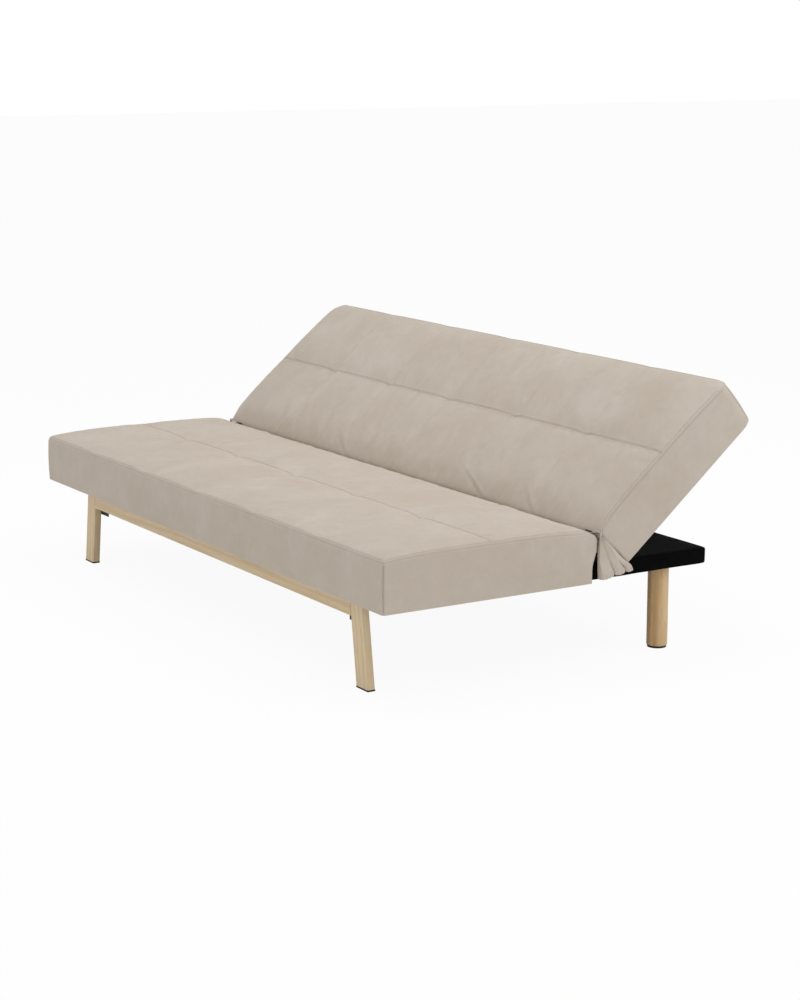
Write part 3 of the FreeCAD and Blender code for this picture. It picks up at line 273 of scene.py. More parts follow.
def woven(name, stops, pitch, across="X", rough=0.85, gloss=0.2):
    """Cloth or webbing with its threads over and under each other at their real pitch."""
    material, shader, place = new_material(name)
    link = material.node_tree.links.new
    threads = []
    for direction in (across, "Y" if across == "X" else "Z"):
        threads.append(add(material, "ShaderNodeTexWave",
                           {"Vector": place, "Scale": 0.314 / pitch, "Distortion": 0.25,
                            "Detail": 1.0, "Detail Scale": 3.0},
                           bands_direction=direction, wave_profile="SIN").outputs["Fac"])
    over = add(material, "ShaderNodeMath", {0: threads[0], 1: threads[1]}, operation="MULTIPLY")
    clouds = add(material, "ShaderNodeTexNoise",
                 {"Vector": place, "Scale": 22.0, "Detail": 4.0, "Roughness": 0.6})
    tone = add(material, "ShaderNodeMath", {0: over.outputs[0], 1: 0.45}, operation="MULTIPLY")
    tone = add(material, "ShaderNodeMath", {0: clouds.outputs["Fac"], 1: 0.55, 2: tone.outputs[0]},
               operation="MULTIPLY_ADD")
    link(ramp(material, tone.outputs[0], stops), shader.inputs["Base Color"])
    relief = add(material, "ShaderNodeBump",
                 {"Strength": 0.35, "Distance": 0.4 * MM, "Height": over.outputs[0]})
    link(relief.outputs["Normal"], shader.inputs["Normal"])
    shader.inputs["Roughness"].default_value = rough
    shader.inputs["Specular IOR Level"].default_value = gloss
    return material


# Meshes in code

def points_of(mesh):
    """The mesh's points as an array."""
    array = np.empty(len(mesh.vertices) * 3)
    mesh.vertices.foreach_get("co", array)
    return array.reshape(-1, 3)


def set_points(mesh, array):
    mesh.vertices.foreach_set("co", array.reshape(-1))
    mesh.update()


def only(piece):
    """Selects one object and nothing else."""
    bpy.ops.object.select_all(action="DESELECT")
    piece.select_set(True)
    bpy.context.view_layer.objects.active = piece


def settle(piece, matrix=None):
    """Puts a finished piece in its place, with its object at the origin."""
    if matrix is not None:
        piece.matrix_world = matrix @ piece.matrix_world
    only(piece)
    bpy.ops.object.transform_apply(location=True, rotation=True, scale=True)


def apply_modifier(piece, kind, **settings):
    """Adds a modifier with its settings and applies it."""
    only(piece)
    modifier = piece.modifiers.new(kind.lower(), kind)
    for name, value in settings.items():
        setattr(modifier, name, value)
    bpy.ops.object.modifier_apply(modifier=modifier.name)


def lumps(points, size, seed):
    """Smooth noise between -1 and 1 at each point, with lumps of about the given size."""
    shift = Vector((seed * 7.31, seed * 3.17, seed * 5.77))
    return np.array([noise.noise(Vector(point) / size + shift) for point in points])


def smooth_step(low, high, value):
    """Nought up to low, one from high on, and a soft change between them."""
    value = np.clip((value - low) / (high - low), 0, 1)
    return value * value * (3 - 2 * value)


def local_box(place, *names):
    """The lowest and highest corner of some nodes, in a slab's own frame."""
    turn = place.inverted()
    spots = np.vstack([points_of(frame["nodes"][name].data) for name in names])
    spots = spots @ np.array(turn.to_3x3()).T + np.array(turn.translation)
    return spots.min(axis=0), spots.max(axis=0)


def surface_of(piece):
    """A search tree over a piece's faces, in its own frame."""
    mesh = piece.data
    return BVHTree.FromPolygons([vertex.co[:] for vertex in mesh.vertices],
                                [face.vertices[:] for face in mesh.polygons])


def mesh_piece(name, points, faces, smooth=True):
    """A new object from points and faces."""
    mesh = bpy.data.meshes.new(name)
    mesh.from_pydata([tuple(point) for point in points], [], [tuple(face) for face in faces])
    mesh.update()
    piece = bpy.data.objects.new(name, mesh)
    bpy.context.scene.collection.objects.link(piece)
    if smooth:
        mesh.polygons.foreach_set("use_smooth", [True] * len(mesh.polygons))
    return piece


# The two stuffed slabs

def slab_blank(name, depth):
    """A plain slab of small quads, open below, with edge loops along every seam."""
    rows = 2 * round(depth / (18 * MM))
    bpy.ops.mesh.primitive_grid_add(x_subdivisions=200, y_subdivisions=rows, size=1,
                                    location=(0, NEAR + depth / 2, EDGE_TOP))
    slab = bpy.context.object
    slab.name = name
    slab.scale = (LENGTH, depth, 1)
    settle(slab)
    bpy.ops.object.mode_set(mode="EDIT")
    for offset in (SEAM_LIP, SEAM_STITCH):
        cuts = [((side * (LENGTH / 2 - offset), 0, 0), (1, 0, 0)) for side in (-1, 1)]
        for place in (NEAR + offset, NEAR + depth / 2 - offset, NEAR + depth / 2 + offset,
                      NEAR + depth - offset):
            cuts.append(((0, place, 0), (0, 1, 0)))
        for place, normal in cuts:
            bpy.ops.mesh.select_all(action="SELECT")
            bpy.ops.mesh.bisect(plane_co=place, plane_no=normal)
    bpy.ops.mesh.select_mode(type="EDGE")
    bpy.ops.mesh.select_all(action="DESELECT")
    bpy.ops.mesh.select_non_manifold()
    ends = [SEAM_LIP, LIP_TO_STITCH]
    steps = ends + [(THICK - 12 * MM) / 11] * 11 + ends[::-1]
    for step in steps:
        bpy.ops.mesh.extrude_edges_move(TRANSFORM_OT_translate={"value": (0, 0, -step)})
    bpy.ops.mesh.select_all(action="SELECT")
    bpy.ops.mesh.normals_make_consistent(inside=False)
    bpy.ops.object.mode_set(mode="OBJECT")
    return slab


def close_below(slab):
    """Closes the slab's open underside."""
    only(slab)
    bpy.ops.object.mode_set(mode="EDIT")
    bpy.ops.mesh.select_mode(type="EDGE")
    bpy.ops.mesh.select_all(action="DESELECT")
    bpy.ops.mesh.select_non_manifold()
    bpy.ops.mesh.edge_face_add()
    bpy.ops.mesh.select_all(action="SELECT")
    bpy.ops.mesh.normals_make_consistent(inside=False)
    bpy.ops.object.mode_set(mode="OBJECT")


def round_corners(across, along, far, far_round):
    """Turns the plan's square corners into rounded ones."""
    for edge, sign, radius in ((far, 1, far_round), (NEAR, -1, CORNER_ROUND)):
        p = np.abs(across) - (LENGTH / 2 - radius)
        q = sign * (along - edge) + radius
        inside = (p > 0) & (q > 0)
        reach = np.hypot(p, q)
        scale = np.where(inside, np.maximum(p, q) / np.where(reach > 0, reach, 1), 1)
        across = np.where(inside, np.sign(across) * (LENGTH / 2 - radius + p * scale), across)
        along = np.where(inside, edge - sign * radius + sign * q * scale, along)
    return across, along


def top_height(across, along, depth, fullness):
    """The stuffed top's height over each place: crown, sewn row, column valleys and tufts."""
    half = LENGTH / 2
    share = np.clip(2 * (along - NEAR) / depth - 1, -1, 1)
    swell = np.sqrt(np.clip(1 - np.abs(across / half) ** 12, 0, 1))
    arch = np.clip(1 - np.abs(share) ** 3, 0, 1) ** 0.8
    height = (END_CROWN + (CROWN - END_CROWN - SHOULDER) * swell) * arch * fullness
    gap = np.clip(np.minimum(half - np.abs(across), NEAR + depth - along), 0, None)
    pinch = np.exp(-(np.abs(across - np.round(across / COLUMN) * COLUMN) / 0.03) ** 1.5)
    pinch *= 0.85 * (np.abs(across) < half - COLUMN / 2)
    height += SHOULDER * (1 - pinch * np.exp(-gap / 0.06)) * (1 - np.exp(-gap / (6 * MM)))
    off_row = np.abs(along - NEAR - depth / 2)
    line = np.round(across / COLUMN) * COLUMN
    off_column = np.abs(across - line)
    inner = np.clip((half - np.abs(line)) / COLUMN, 0, 1)
    height -= ROW_DIP * swell * np.exp(-(off_row / 0.05) ** 1.2)
    near_row = 0.25 + 0.75 * np.exp(-(off_row / 0.11) ** 2)
    valley = 3.2 * MM * np.exp(-(off_column / 0.032) ** 1.3) * near_row * arch
    tuft = 4 * MM * np.exp(-(np.hypot(off_row, off_column) / 0.02) ** 1.4)
    height -= (valley + tuft) * inner * swell
    height *= smooth_step(NEAR - 12 * MM, NEAR + 62 * MM, along)
    drop = np.clip(NEAR + CREASE_ROUND - along, 0, CREASE_ROUND)
    height -= CREASE_ROUND - np.sqrt(CREASE_ROUND ** 2 - drop ** 2)
    height -= 5.5 * MM * np.exp(-np.clip(along - NEAR, 0, None) / (14 * MM))
    return height


def stuffed(points, depth, seed, far_round, fullness=1.0):
    """The stuffed form of a plain slab's points."""
    across, along, level = points.T
    far = NEAR + depth
    share = (level - UNDER) / THICK
    top = EDGE_TOP + top_height(across, along, depth, fullness)
    wave = lumps(points * (1, 1, 0.6), 0.11, seed) + 0.5 * lumps(points, 0.045, seed + 3)
    edge_gap = np.minimum(np.minimum(LENGTH / 2 - np.abs(across), far - along), along - NEAR)
    calm = np.clip(edge_gap / 0.03, 0, 1)
    top += 1.0 * MM * wave * calm
    bulge = 2.5 * MM * np.sin(np.pi * np.clip(share, 0, 1))
    side = (LENGTH / 2 - np.abs(across)) < 0.1 * MM
    front = (far - along) < 0.1 * MM
    ripple = 0.9 * MM * lumps(points * (1, 1, 0.4), 0.07, seed + 5) * np.sin(np.pi * share)
    column = np.exp(-(np.abs(across - np.round(across / COLUMN) * COLUMN) / 0.04) ** 1.5)
    column *= np.abs(across) < LENGTH / 2 - COLUMN / 2
    level = UNDER + share * (top - UNDER)
    across, along = round_corners(across, along, far, far_round)
    along = along + np.where(front, bulge + ripple - 2.5 * MM * column * share, 0)
    across = across + np.where(side, np.sign(across) * (0.4 * bulge + 0.7 * ripple), 0)
    drawn = smooth_step(0.868, 0.886, np.abs(across)) * smooth_step(0.95, 0.35, share)
    along = along + 13 * MM * drawn * smooth_step(NEAR + 0.10, NEAR, along)
    return np.stack([across, along, level], axis=1)


def near_seam(plain, depth, reach):
    """Which of a plain slab's points lie by its top seam, its row seam or below the top."""
    across, along, level = plain.T
    edge = np.minimum(np.minimum(LENGTH / 2 - np.abs(across), NEAR + depth - along), along - NEAR)
    row = np.abs(along - NEAR - depth / 2)
    return edge, row, (edge < reach) | (row < reach) | (level < EDGE_TOP - 1e-5)


def swell(slab, plain, depth):
    """Lets the top's cloth swell between its seams and tufts, and gives how each point moved."""
    edge, row, held = near_seam(plain, depth, 3 * MM)
    across = plain[:, 0]
    column = np.round(across / COLUMN) * COLUMN
    tuft = (np.hypot(across - column, row) < 12 * MM) & (np.abs(column) < LENGTH / 2 - 1e-6)
    group = slab.vertex_groups.new(name="held")
    group.add([int(i) for i in np.nonzero(held | tuft)[0]], 1.0, "REPLACE")
    before = points_of(slab.data)
    only(slab)
    modifier = slab.modifiers.new("cloth", "CLOTH")
    cloth = modifier.settings
    cloth.quality = 5
    cloth.mass = 0.3
    cloth.tension_stiffness = 12
    cloth.compression_stiffness = 12
    cloth.shear_stiffness = 6
    cloth.bending_stiffness = 0.3
    cloth.vertex_group_mass = "held"
    cloth.use_pressure = True
    cloth.uniform_pressure_force = 4
    cloth.shrink_min = -0.012
    cloth.effector_weights.gravity = 0
    modifier.collision_settings.use_collision = False
    modifier.point_cache.frame_start = 1
    modifier.point_cache.frame_end = CLOTH_STEPS
    for step in range(1, CLOTH_STEPS + 1):
        bpy.context.scene.frame_set(step)
    shown = slab.evaluated_get(bpy.context.evaluated_depsgraph_get())
    after = points_of(shown.to_mesh())
    shown.to_mesh_clear()
    slab.modifiers.remove(modifier)
    slab.vertex_groups.clear()
    bpy.context.scene.frame_set(1)
    moved = after - before
    reach = np.linalg.norm(moved, axis=1)
    return moved * np.minimum(1, CLOTH_CAP / np.maximum(reach, 1e-9))[:, None]


def smoothed(mesh, moved, rounds):
    """The same moves, evened out over the mesh."""
    ends = np.empty(len(mesh.edges) * 2, dtype=int)
    mesh.edges.foreach_get("vertices", ends)
    a, b = ends.reshape(-1, 2).T
    count = np.bincount(np.concatenate([a, b]), minlength=len(moved))[:, None]
    for turn in range(rounds):
        total = np.zeros_like(moved)
        np.add.at(total, a, moved[b])
        np.add.at(total, b, moved[a])
        moved = 0.5 * moved + 0.5 * total / np.maximum(count, 1)
    return moved


def sew(points, plain, depth, far, row_share):
    """Draws the seams in: the top edge, the row and the upright seams at the far corners."""
    across, along, level = plain.T
    edge, row, held = near_seam(plain, depth, 3 * MM)
    top = level > EDGE_TOP - 1e-5
    out = np.zeros_like(points)
    on_side = (LENGTH / 2 - np.abs(across)) < ON_SEAM
    on_front = (far - along) < ON_SEAM
    out[:, 0] = np.where(on_side, np.sign(across), 0)
    out[:, 1] = np.where(on_front, 1, 0)
    out[:, 2] = np.where(top, 1, 0)
    ditch = top & (edge < ON_SEAM)
    below = np.abs(EDGE_TOP - level - SEAM_LIP) < ON_SEAM
    lip = top & (np.abs(edge - SEAM_LIP) < BY_SEAM)
    stitch = top & (np.abs(edge - SEAM_STITCH) < BY_SEAM)
    depth_of = np.zeros(len(points))
    depth_of[ditch] = -2.0 * MM
    depth_of[below & (on_side | on_front)] = 0.7 * MM
    depth_of[lip] = 0.8 * MM
    depth_of[stitch] = -0.5 * MM
    inside = top & (edge > 5 * MM)
    depth_of[inside & (row < BY_SEAM)] = -2.8 * MM * row_share
    depth_of[inside & (np.abs(row - SEAM_LIP) < BY_SEAM)] = 0.5 * MM * row_share
    depth_of[inside & (np.abs(row - SEAM_STITCH) < BY_SEAM)] = -0.4 * MM
    upright = on_side & on_front & (level < EDGE_TOP - 4 * MM) & (level > UNDER + 4 * MM)
    depth_of[upright] = -2.8 * MM
    beside = (on_side & (np.abs(far - along - SEAM_LIP) < BY_SEAM)) | \
             (on_front & (np.abs(LENGTH / 2 - np.abs(across) - SEAM_LIP) < BY_SEAM))
    depth_of[beside & ~top] = 0.6 * MM
    # Painted shade for the top seam's ditch, the upright corner seams and the row seam, which the
    # cloth's colour reads
    seam = np.zeros(len(points))
    seam[ditch & (along > NEAR + 5 * MM)] = 0.25 + 0.4 * row_share
    seam[upright] = 0.9
    seam[inside & (row < BY_SEAM)] = 0.8 * row_share
    return points + out * depth_of[:, None], seam


# Where the cloth creases at the hinge edge below each tuft: lean, offset and strength
CREASES = {-2: (-0.7, 0.004, 0.5), -1: (1.2, -0.010, 0.8), 0: (-0.5, 0.006, 0.5),
           1: (2.2, -0.006, 1.25), 2: (1.1, -0.030, 1.1)}


def pucker(slab, depth, seed, row_share):
    """Fine pleats that run out from each tuft along the row seam, and short ones at the edge."""
    points = points_of(slab.data)
    across, along, level = points.T
    top = level > EDGE_TOP - 6 * MM
    rise = np.zeros(len(points))
    for number in range(-2, 3):
        x = across - number * COLUMN
        y = along - NEAR - depth / 2
        reach = np.hypot(x, y)
        turn = np.arctan2(y, x)
        pleat = np.cos(7 * turn + seed + number) + 0.6 * np.cos(11 * turn + 2 * number)
        rise += row_share * MM * pleat * np.clip(reach / 0.02, 0, 1) * np.exp(-reach / 0.026)
        lean, start, force = CREASES[number]
        line = x - start - lean * (0.07 - along)
        low = smooth_step(0.078, 0.030, along) * smooth_step(0.004, 0.026, along)
        rise += force * row_share * 3.2 * MM * np.exp(-(line / 0.011) ** 2) * low
        rise -= force * row_share * 3.2 * MM * np.exp(-((line + 0.019) / 0.012) ** 2) * low
    points[:, 2] += np.where(top, rise, 0)
    set_points(slab.data, points)


def cut_boxes(piece, boxes):
    """Cuts plain boxes out of a piece, all at once; they don't touch each other."""
    cutters = []
    for low, high in boxes:
        middle = [(a + b) / 2 for a, b in zip(low, high)]
        bpy.ops.mesh.primitive_cube_add(size=1, location=middle)
        cutters.append(bpy.context.object)
        cutters[-1].scale = [b - a for a, b in zip(low, high)]
        settle(cutters[-1])
    bpy.ops.object.select_all(action="DESELECT")
    for cutter in cutters:
        cutter.select_set(True)
    bpy.context.view_layer.objects.active = cutters[0]
    if len(cutters) > 1:
        bpy.ops.object.join()
    cutter = cutters[0]
    apply_modifier(piece, "BOOLEAN", operation="DIFFERENCE", solver="EXACT", object=cutter)
    bpy.data.objects.remove(cutter, do_unlink=True)


def hollow(slab, place, frame_names, plate_names):
    """Makes room in the slab for its frame from below, and for the hinges in its ends."""
    low, high = local_box(place, *frame_names)
    low, high = low - 0.4 * MM, high + 0.4 * MM
    cut_boxes(slab, [(low, high)])
    cut_boxes(slab, [((low[0], -10 * MM, UNDER - 10 * MM), (high[0], high[1], low[2] + 1 * MM))])
    slots = [((-HINGE_OUTER, SLOT_NEAR, SLOT_LOW), (-HINGE_INNER, SLOT_FAR, SLOT_HIGH)),
             ((HINGE_INNER, SLOT_NEAR, SLOT_LOW), (HINGE_OUTER, SLOT_FAR, SLOT_HIGH))]
    cut_boxes(slab, slots)
    low, high = local_box(place, *plate_names)
    level = min(high[2] + 0.4 * MM, 5 * MM)
    pockets = []
    for sign in (-1, 1):
        ends = sorted((sign * (abs(high[0]) + 0.4 * MM), sign * 849 * MM))
        pockets.append(((ends[0], 60 * MM, SLOT_LOW), (ends[1], high[1] + 0.5 * MM, level)))
    cut_boxes(slab, pockets)


def stitches(name, surface, runs, thread, pitch=5.4 * MM):
    """Rows of sewing thread on a slab: one stitch shape, laid along each run of the seam."""
    bpy.ops.mesh.primitive_cylinder_add(vertices=6, radius=1, depth=1, rotation=(0, math.pi / 2, 0))
    single = bpy.context.object
    settle(single)
    bpy.ops.object.mode_set(mode="EDIT")
    for place in (-0.28, 0.28):
        bpy.ops.mesh.select_all(action="SELECT")
        bpy.ops.mesh.bisect(plane_co=(place, 0, 0), plane_no=(1, 0, 0))
    bpy.ops.object.mode_set(mode="OBJECT")
    shape = points_of(single.data)
    faces = [tuple(face.vertices) for face in single.data.polygons]
    bpy.data.objects.remove(single, do_unlink=True)
    ends = np.abs(shape[:, 0]) > 0.4
    shape[:, 1:] *= np.where(ends, 0.5, 1.0)[:, None] * 0.42 * MM
    shape[:, 2] -= np.where(ends, 0.7 * MM, 0)
    shape[:, 0] *= 0.74 * pitch
    points, all_faces = [], []
    for first, last in runs:
        first, last = Vector(first), Vector(last)
        count = int((last - first).length / pitch)
        for number in range(count):
            spot = first.lerp(last, (number + 0.5) / count)
            ahead = first.lerp(last, (number + 0.8) / count)
            above, down = Vector((0, 0, 0.2)), Vector((0, 0, -1))
            hit, normal = surface.ray_cast(spot.xy.to_3d() + above, down)[:2]
            further = surface.ray_cast(ahead.xy.to_3d() + above, down)[0]
            if hit is None or further is None:
                continue
            along = (further - hit).normalized()
            aside = normal.cross(along).normalized()
            turn = np.array([along, aside, along.cross(aside)])
            base = len(points) * len(shape)
            points.append(shape @ turn + np.array(hit + 0.25 * MM * normal))
            all_faces.extend([tuple(base + index for index in face) for face in faces])
    threads = mesh_piece(name, np.vstack(points), all_faces)
    threads.data.materials.append(thread)
    return threads


def slab_cushion(name, depth, seed, far_round, row_share):
    """One slab from its blank to its finished form, lying flat at the hinge."""
    slab = slab_blank(name, depth)
    plain = points_of(slab.data)
    full = stuffed(plain, depth, seed, far_round)
    set_points(slab.data, stuffed(plain, depth, seed, far_round, 0.7))
    moved = swell(slab, plain, depth)
    folds = moved - smoothed(slab.data, moved, 22)
    edge, row, held = near_seam(plain, depth, 3 * MM)
    full = full + folds * np.where(held, 0, np.clip(edge / 0.035, 0, 1))[:, None]
    sewn, seam = sew(full, plain, depth, NEAR + depth, row_share)
    set_points(slab.data, sewn)
    # The seams' painted shade goes on the mesh as its seam attribute
    tone = slab.data.attributes.new("seam", "FLOAT", "POINT")
    tone.data.foreach_set("value", seam.astype(np.float32))
    apply_modifier(slab, "SUBSURF", levels=1, render_levels=1)
    close_below(slab)
    pucker(slab, depth, seed, row_share)
    return slab


cloth = microfibre()
thread = surfaced("sewing_thread", [(0.3, "#8E8272"), (0.7, "#A4988A")], (0.6, 0.8), 900.0, 0.3,
                  specular=0.3)
SLABS = (
    ("seat", SEAT_DEPTH, SEAT_PLACE, "base", 1, CORNER_ROUND, 0.45,
     ("seat_rear_rail", "seat_front_rail", "seat_left_rail", "seat_right_rail",
      "seat_centre_brace", "seat_springs", "seat_dust_cloth"),
     ("left_hinge_inner_plate", "hinge_seat_screws"),
     ("seat_cover", "seat_foam_core", "seat_front_foam_strip", "seat_left_foam_strip",
      "seat_right_foam_strip")),
    ("back", BACK_DEPTH, BACK_PLACE, "backrest", 2, 40 * MM, 0.9,
     ("back_lower_rail", "back_top_rail", "back_left_rail", "back_right_rail",
      "back_centre_brace", "back_webbing", "back_dust_cloth"),
     ("left_hinge_arm", "hinge_back_screws"),
     ("back_cover", "back_foam_core", "back_top_foam_strip", "back_left_foam_strip",
      "back_right_foam_strip")),
)
for name, depth, place, body, seed, far_round, row_share, bars, plates, replaced in SLABS:
    slab = slab_cushion(f"{name}_upholstery", depth, seed, far_round, row_share)
    far = NEAR + depth
    side = LENGTH / 2 - 6.2 * MM
    row = NEAR + depth / 2 + 4.4 * MM
    runs = [((-side, NEAR + 0.02, 0), (-side, far - max(far_round, 6.2 * MM), 0)),
            ((-LENGTH / 2 + max(far_round, 6.2 * MM), far - 6.2 * MM, 0),
             (LENGTH / 2 - max(far_round, 6.2 * MM), far - 6.2 * MM, 0)),
            ((side, NEAR + 0.02, 0), (side, far - max(far_round, 6.2 * MM), 0)),
            ((-side, row, 0), (side, row, 0))]
    threads = stitches(f"{name}_stitches", surface_of(slab), runs, thread)
    hollow(slab, place, bars, plates)
    slab.data.materials.clear()
    slab.data.materials.append(cloth)
    for piece in (slab, threads):
        settle(piece, place)
        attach(piece, body)
    only(slab)
    bpy.ops.object.shade_smooth_by_angle(angle=math.radians(50))
    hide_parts(*replaced)


# The gathered flaps that hide the hinges

FLAP_LEFT = ((0.0655, 0.3300), (0.0625, 0.3050), (0.0605, 0.2700), (0.0600, 0.2400),
             (0.0606, 0.2135))
FLAP_RIGHT = ((0.0680, 0.3300), (0.0790, 0.3130), (0.0950, 0.2975), (0.1120, 0.2816),
              (0.1325, 0.2600), (0.1530, 0.2440), (0.1600, 0.2270))
FLAP_LOBES = (0.0, 0.44, 0.76, 1.0)


def along_line(line, share):
    """The point at each share of a line's length."""
    line = np.array(line)
    steps = np.hypot(*np.diff(line, axis=0).T)
    reach = np.concatenate([[0], np.cumsum(steps)]) / steps.sum()
    return np.stack([np.interp(share, reach, line[:, place]) for place in (0, 1)], axis=-1)


def hinge_flap(side, sign):
    """A fan of cloth from the crease to a hem that an elastic gathers into three puffs."""
    columns, rows = 76, 84
    a, t = np.meshgrid(np.linspace(0, 1, columns), np.linspace(-0.3, 1, rows))
    down = np.clip(t, 0, 1)
    inward = np.clip(-t / 0.3, 0, 1)
    left, right = along_line(FLAP_LEFT, down), along_line(FLAP_RIGHT, down)
    spread = left + (right - left) * a[..., None]
    y, z = spread[..., 0], spread[..., 1]
    lobe = np.zeros_like(a)
    for low, high in zip(FLAP_LOBES, FLAP_LOBES[1:]):
        inside = (a >= low) & (a <= high)
        lobe = np.where(inside, np.sin(np.pi * (a - low) / (high - low)), lobe)
    lobe = np.clip(lobe, 0, 1)
    low_end = smooth_step(0.66, 0.95, down)
    z = z - 0.0050 * (lobe ** 0.35 - 0.55) * low_end
    panel = np.where(a < 0.74, a / 0.74, (1 - a) / 0.26)
    puff = smooth_step(0.56, 0.84, down)
    x = 0.9040 + 0.0098 * panel ** 0.9 * smooth_step(0.0, 0.35, down) * (1 - puff)
    x += (0.0022 + 0.0090 * lobe ** 0.32) * puff
    groove = np.exp(-((a - 0.36 - 0.08 * down) / 0.05) ** 2)
    x -= 0.0026 * groove * smooth_step(0.1, 0.5, down) * (1 - puff)
    gathers = np.sin(2 * np.pi * (10.5 * a + 0.5 * np.sin(3 * t)) + 0.7)
    x += 0.0008 * gathers * smooth_step(0.7, 0.96, down)
    folds = np.sin(2 * np.pi * 4.5 * a + 1.1) * np.exp(-((down - 0.12) / 0.16) ** 2)
    x += 0.0010 * folds * (t >= 0)
    spots = np.stack([x, y, z], axis=-1).reshape(-1, 3)
    x += (0.0011 * lumps(spots, 0.022, 11) + 0.0006 * lumps(spots, 0.009, 12)).reshape(a.shape)
    # The hem rolls under, and both upright edges are turned in
    under = smooth_step(0.93, 1.0, down)
    x -= 0.0075 * under * (0.4 + 0.6 * lobe)
    z += 0.0065 * under
    turned = 1 - smooth_step(0, 0.055, a)
    x -= 0.0085 * turned * smooth_step(0.02, 0.2, down)
    y += 0.0032 * turned
    x -= 0.0025 * smooth_step(0.965, 1.0, a) * smooth_step(0.1, 0.3, down)
    # Above the crease's end it runs inwards as three small folds
    x = np.where(t < 0, 0.9040 - 0.034 * inward, x)
    y = np.where(t < 0, 0.0668 + (a - 0.5) * (0.0030 + 0.017 * inward), y)
    tuck = 0.0022 * np.cos(2 * np.pi * 3 * a + 2.0 * inward) * np.sin(np.pi * np.clip(inward, 0, 1))
    z = np.where(t < 0, 0.3302 + 0.0030 * np.sin(np.pi * inward) - 0.0065 * inward + tuck, z)
    x = np.maximum(x, np.where(t < 0, 0, 0.8955))
    points = np.stack([sign * x, y, z], axis=-1).reshape(-1, 3)
    faces = []
    for row in range(rows - 1):
        for column in range(columns - 1):
            first = row * columns + column
            face = (first, first + 1, first + columns + 1, first + columns)
            faces.append(face if sign < 0 else face[::-1])
    flap = mesh_piece(f"{side}_flap_cloth", points, faces)
    only(flap)
    bpy.ops.object.mode_set(mode="EDIT")
    bpy.ops.mesh.select_all(action="SELECT")
    bpy.ops.mesh.normals_make_consistent(inside=False)
    bpy.ops.object.mode_set(mode="OBJECT")
    middle = flap.data.polygons[(rows // 2) * (columns - 1) + columns // 2]
    if middle.normal.x * sign < 0:
        flap.data.flip_normals()
    apply_modifier(flap, "SOLIDIFY", thickness=1.3 * MM, offset=-1)
    flap.data.materials.append(cloth)
    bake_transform(flap)
    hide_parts(f"{side}_hinge_flap")


for side, sign in (("left", -1), ("right", 1)):
    hinge_flap(side, sign)


# The base's black cloth

def base_cloth():
    """Black cloth pulled round the base's frame: soft corners and a slightly wavy skirt."""
    low, high = (np.array(corner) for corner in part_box("base_cover"))
    middle, size = (low + high) / 2, high - low
    bpy.ops.mesh.primitive_grid_add(x_subdivisions=84, y_subdivisions=30, size=1,
                                    location=(middle[0], middle[1], high[2]))
    box = bpy.context.object
    box.name = "base_cloth"
    box.scale = (size[0], size[1], 1)
    settle(box)
    bpy.ops.object.mode_set(mode="EDIT")
    bpy.ops.mesh.select_all(action="SELECT")
    bpy.ops.mesh.duplicate_move(TRANSFORM_OT_translate={"value": (0, 0, -size[2])})
    bpy.ops.mesh.select_mode(type="EDGE")
    bpy.ops.mesh.select_all(action="DESELECT")
    bpy.ops.mesh.select_non_manifold()
    bpy.ops.mesh.bridge_edge_loops(number_cuts=3)
    for level in (0.8, 2.0, 3.6, 6.0):
        for spot in (high[2] - level * MM, low[2] + level * MM):
            bpy.ops.mesh.select_all(action="SELECT")
            bpy.ops.mesh.bisect(plane_co=(0, 0, spot), plane_no=(0, 0, 1))
    bpy.ops.mesh.select_all(action="SELECT")
    bpy.ops.mesh.normals_make_consistent(inside=False)
    bpy.ops.object.mode_set(mode="OBJECT")
    points = points_of(box.data)
    reach = np.stack([size[0] / 2 - np.abs(points[:, 0] - middle[0]),
                      size[1] / 2 - np.abs(points[:, 1] - middle[1])], axis=1)
    edge_gap = reach.min(axis=1)
    on_wall = edge_gap < 0.1 * MM
    # Corners of the plan, then the long edges above and below
    radius = 8 * MM
    p, q = radius - reach[:, 0], radius - reach[:, 1]
    inside = (p > 0) & (q > 0)
    scale = np.where(inside, np.maximum(p, q) / np.maximum(np.hypot(p, q), 1e-9), 1)
    side = np.sign(points[:, :2] - middle[:2])
    moved = middle[:2] + side * (size[:2] / 2 - radius + np.stack([p, q], axis=1) * scale[:, None])
    points[:, :2] = np.where(inside[:, None], moved, points[:, :2])
    gap = np.minimum(high[2] - points[:, 2], points[:, 2] - low[2])
    tuck = 6 * MM - np.sqrt(np.clip(36 * MM ** 2 - np.clip(6 * MM - gap, 0, 6 * MM) ** 2, 0, None))
    spots = points * (1, 1, 0.7)
    wave = lumps(spots, 0.09, 21) + 0.6 * lumps(spots, 0.035, 22)
    out = (points[:, :2] - middle[:2]) / (size[:2] / 2)
    out = np.where(np.abs(out) > 0.9, np.sign(out), 0) * (reach < radius)
    out = out / np.maximum(np.linalg.norm(out, axis=1), 1)[:, None]
    points[:, :2] += out * np.where(on_wall, 0.8 * MM * wave - 0.7 * tuck, 0)[:, None]
    lower = (high[2] - points[:, 2]) / size[2]
    points[:, 2] += 1.1 * MM * wave * lower
    points[:, 2] -= 2.0 * MM * smooth_step(0.02, 0.12, edge_gap) * (1 - lower)
    points[:, 2] += 1.6 * MM * np.clip(lower - 0.5, 0, 1) * smooth_step(0.0, 0.05, edge_gap)
    set_points(box.data, points)
    apply_modifier(box, "SOLIDIFY", thickness=1.2 * MM, offset=-1)
    box.data.materials.clear()
    box.data.materials.append(base_black)
    only(box)
    bpy.ops.object.shade_smooth_by_angle(angle=math.radians(60))
    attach(box, "base")
    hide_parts("base_cover")


# Dust cloths and webbing

# Straps lie further apart than this, and each is narrower
STRAP_APART = 0.1
STAPLE_PITCH = 0.055
STAPLE_INSET = 0.009


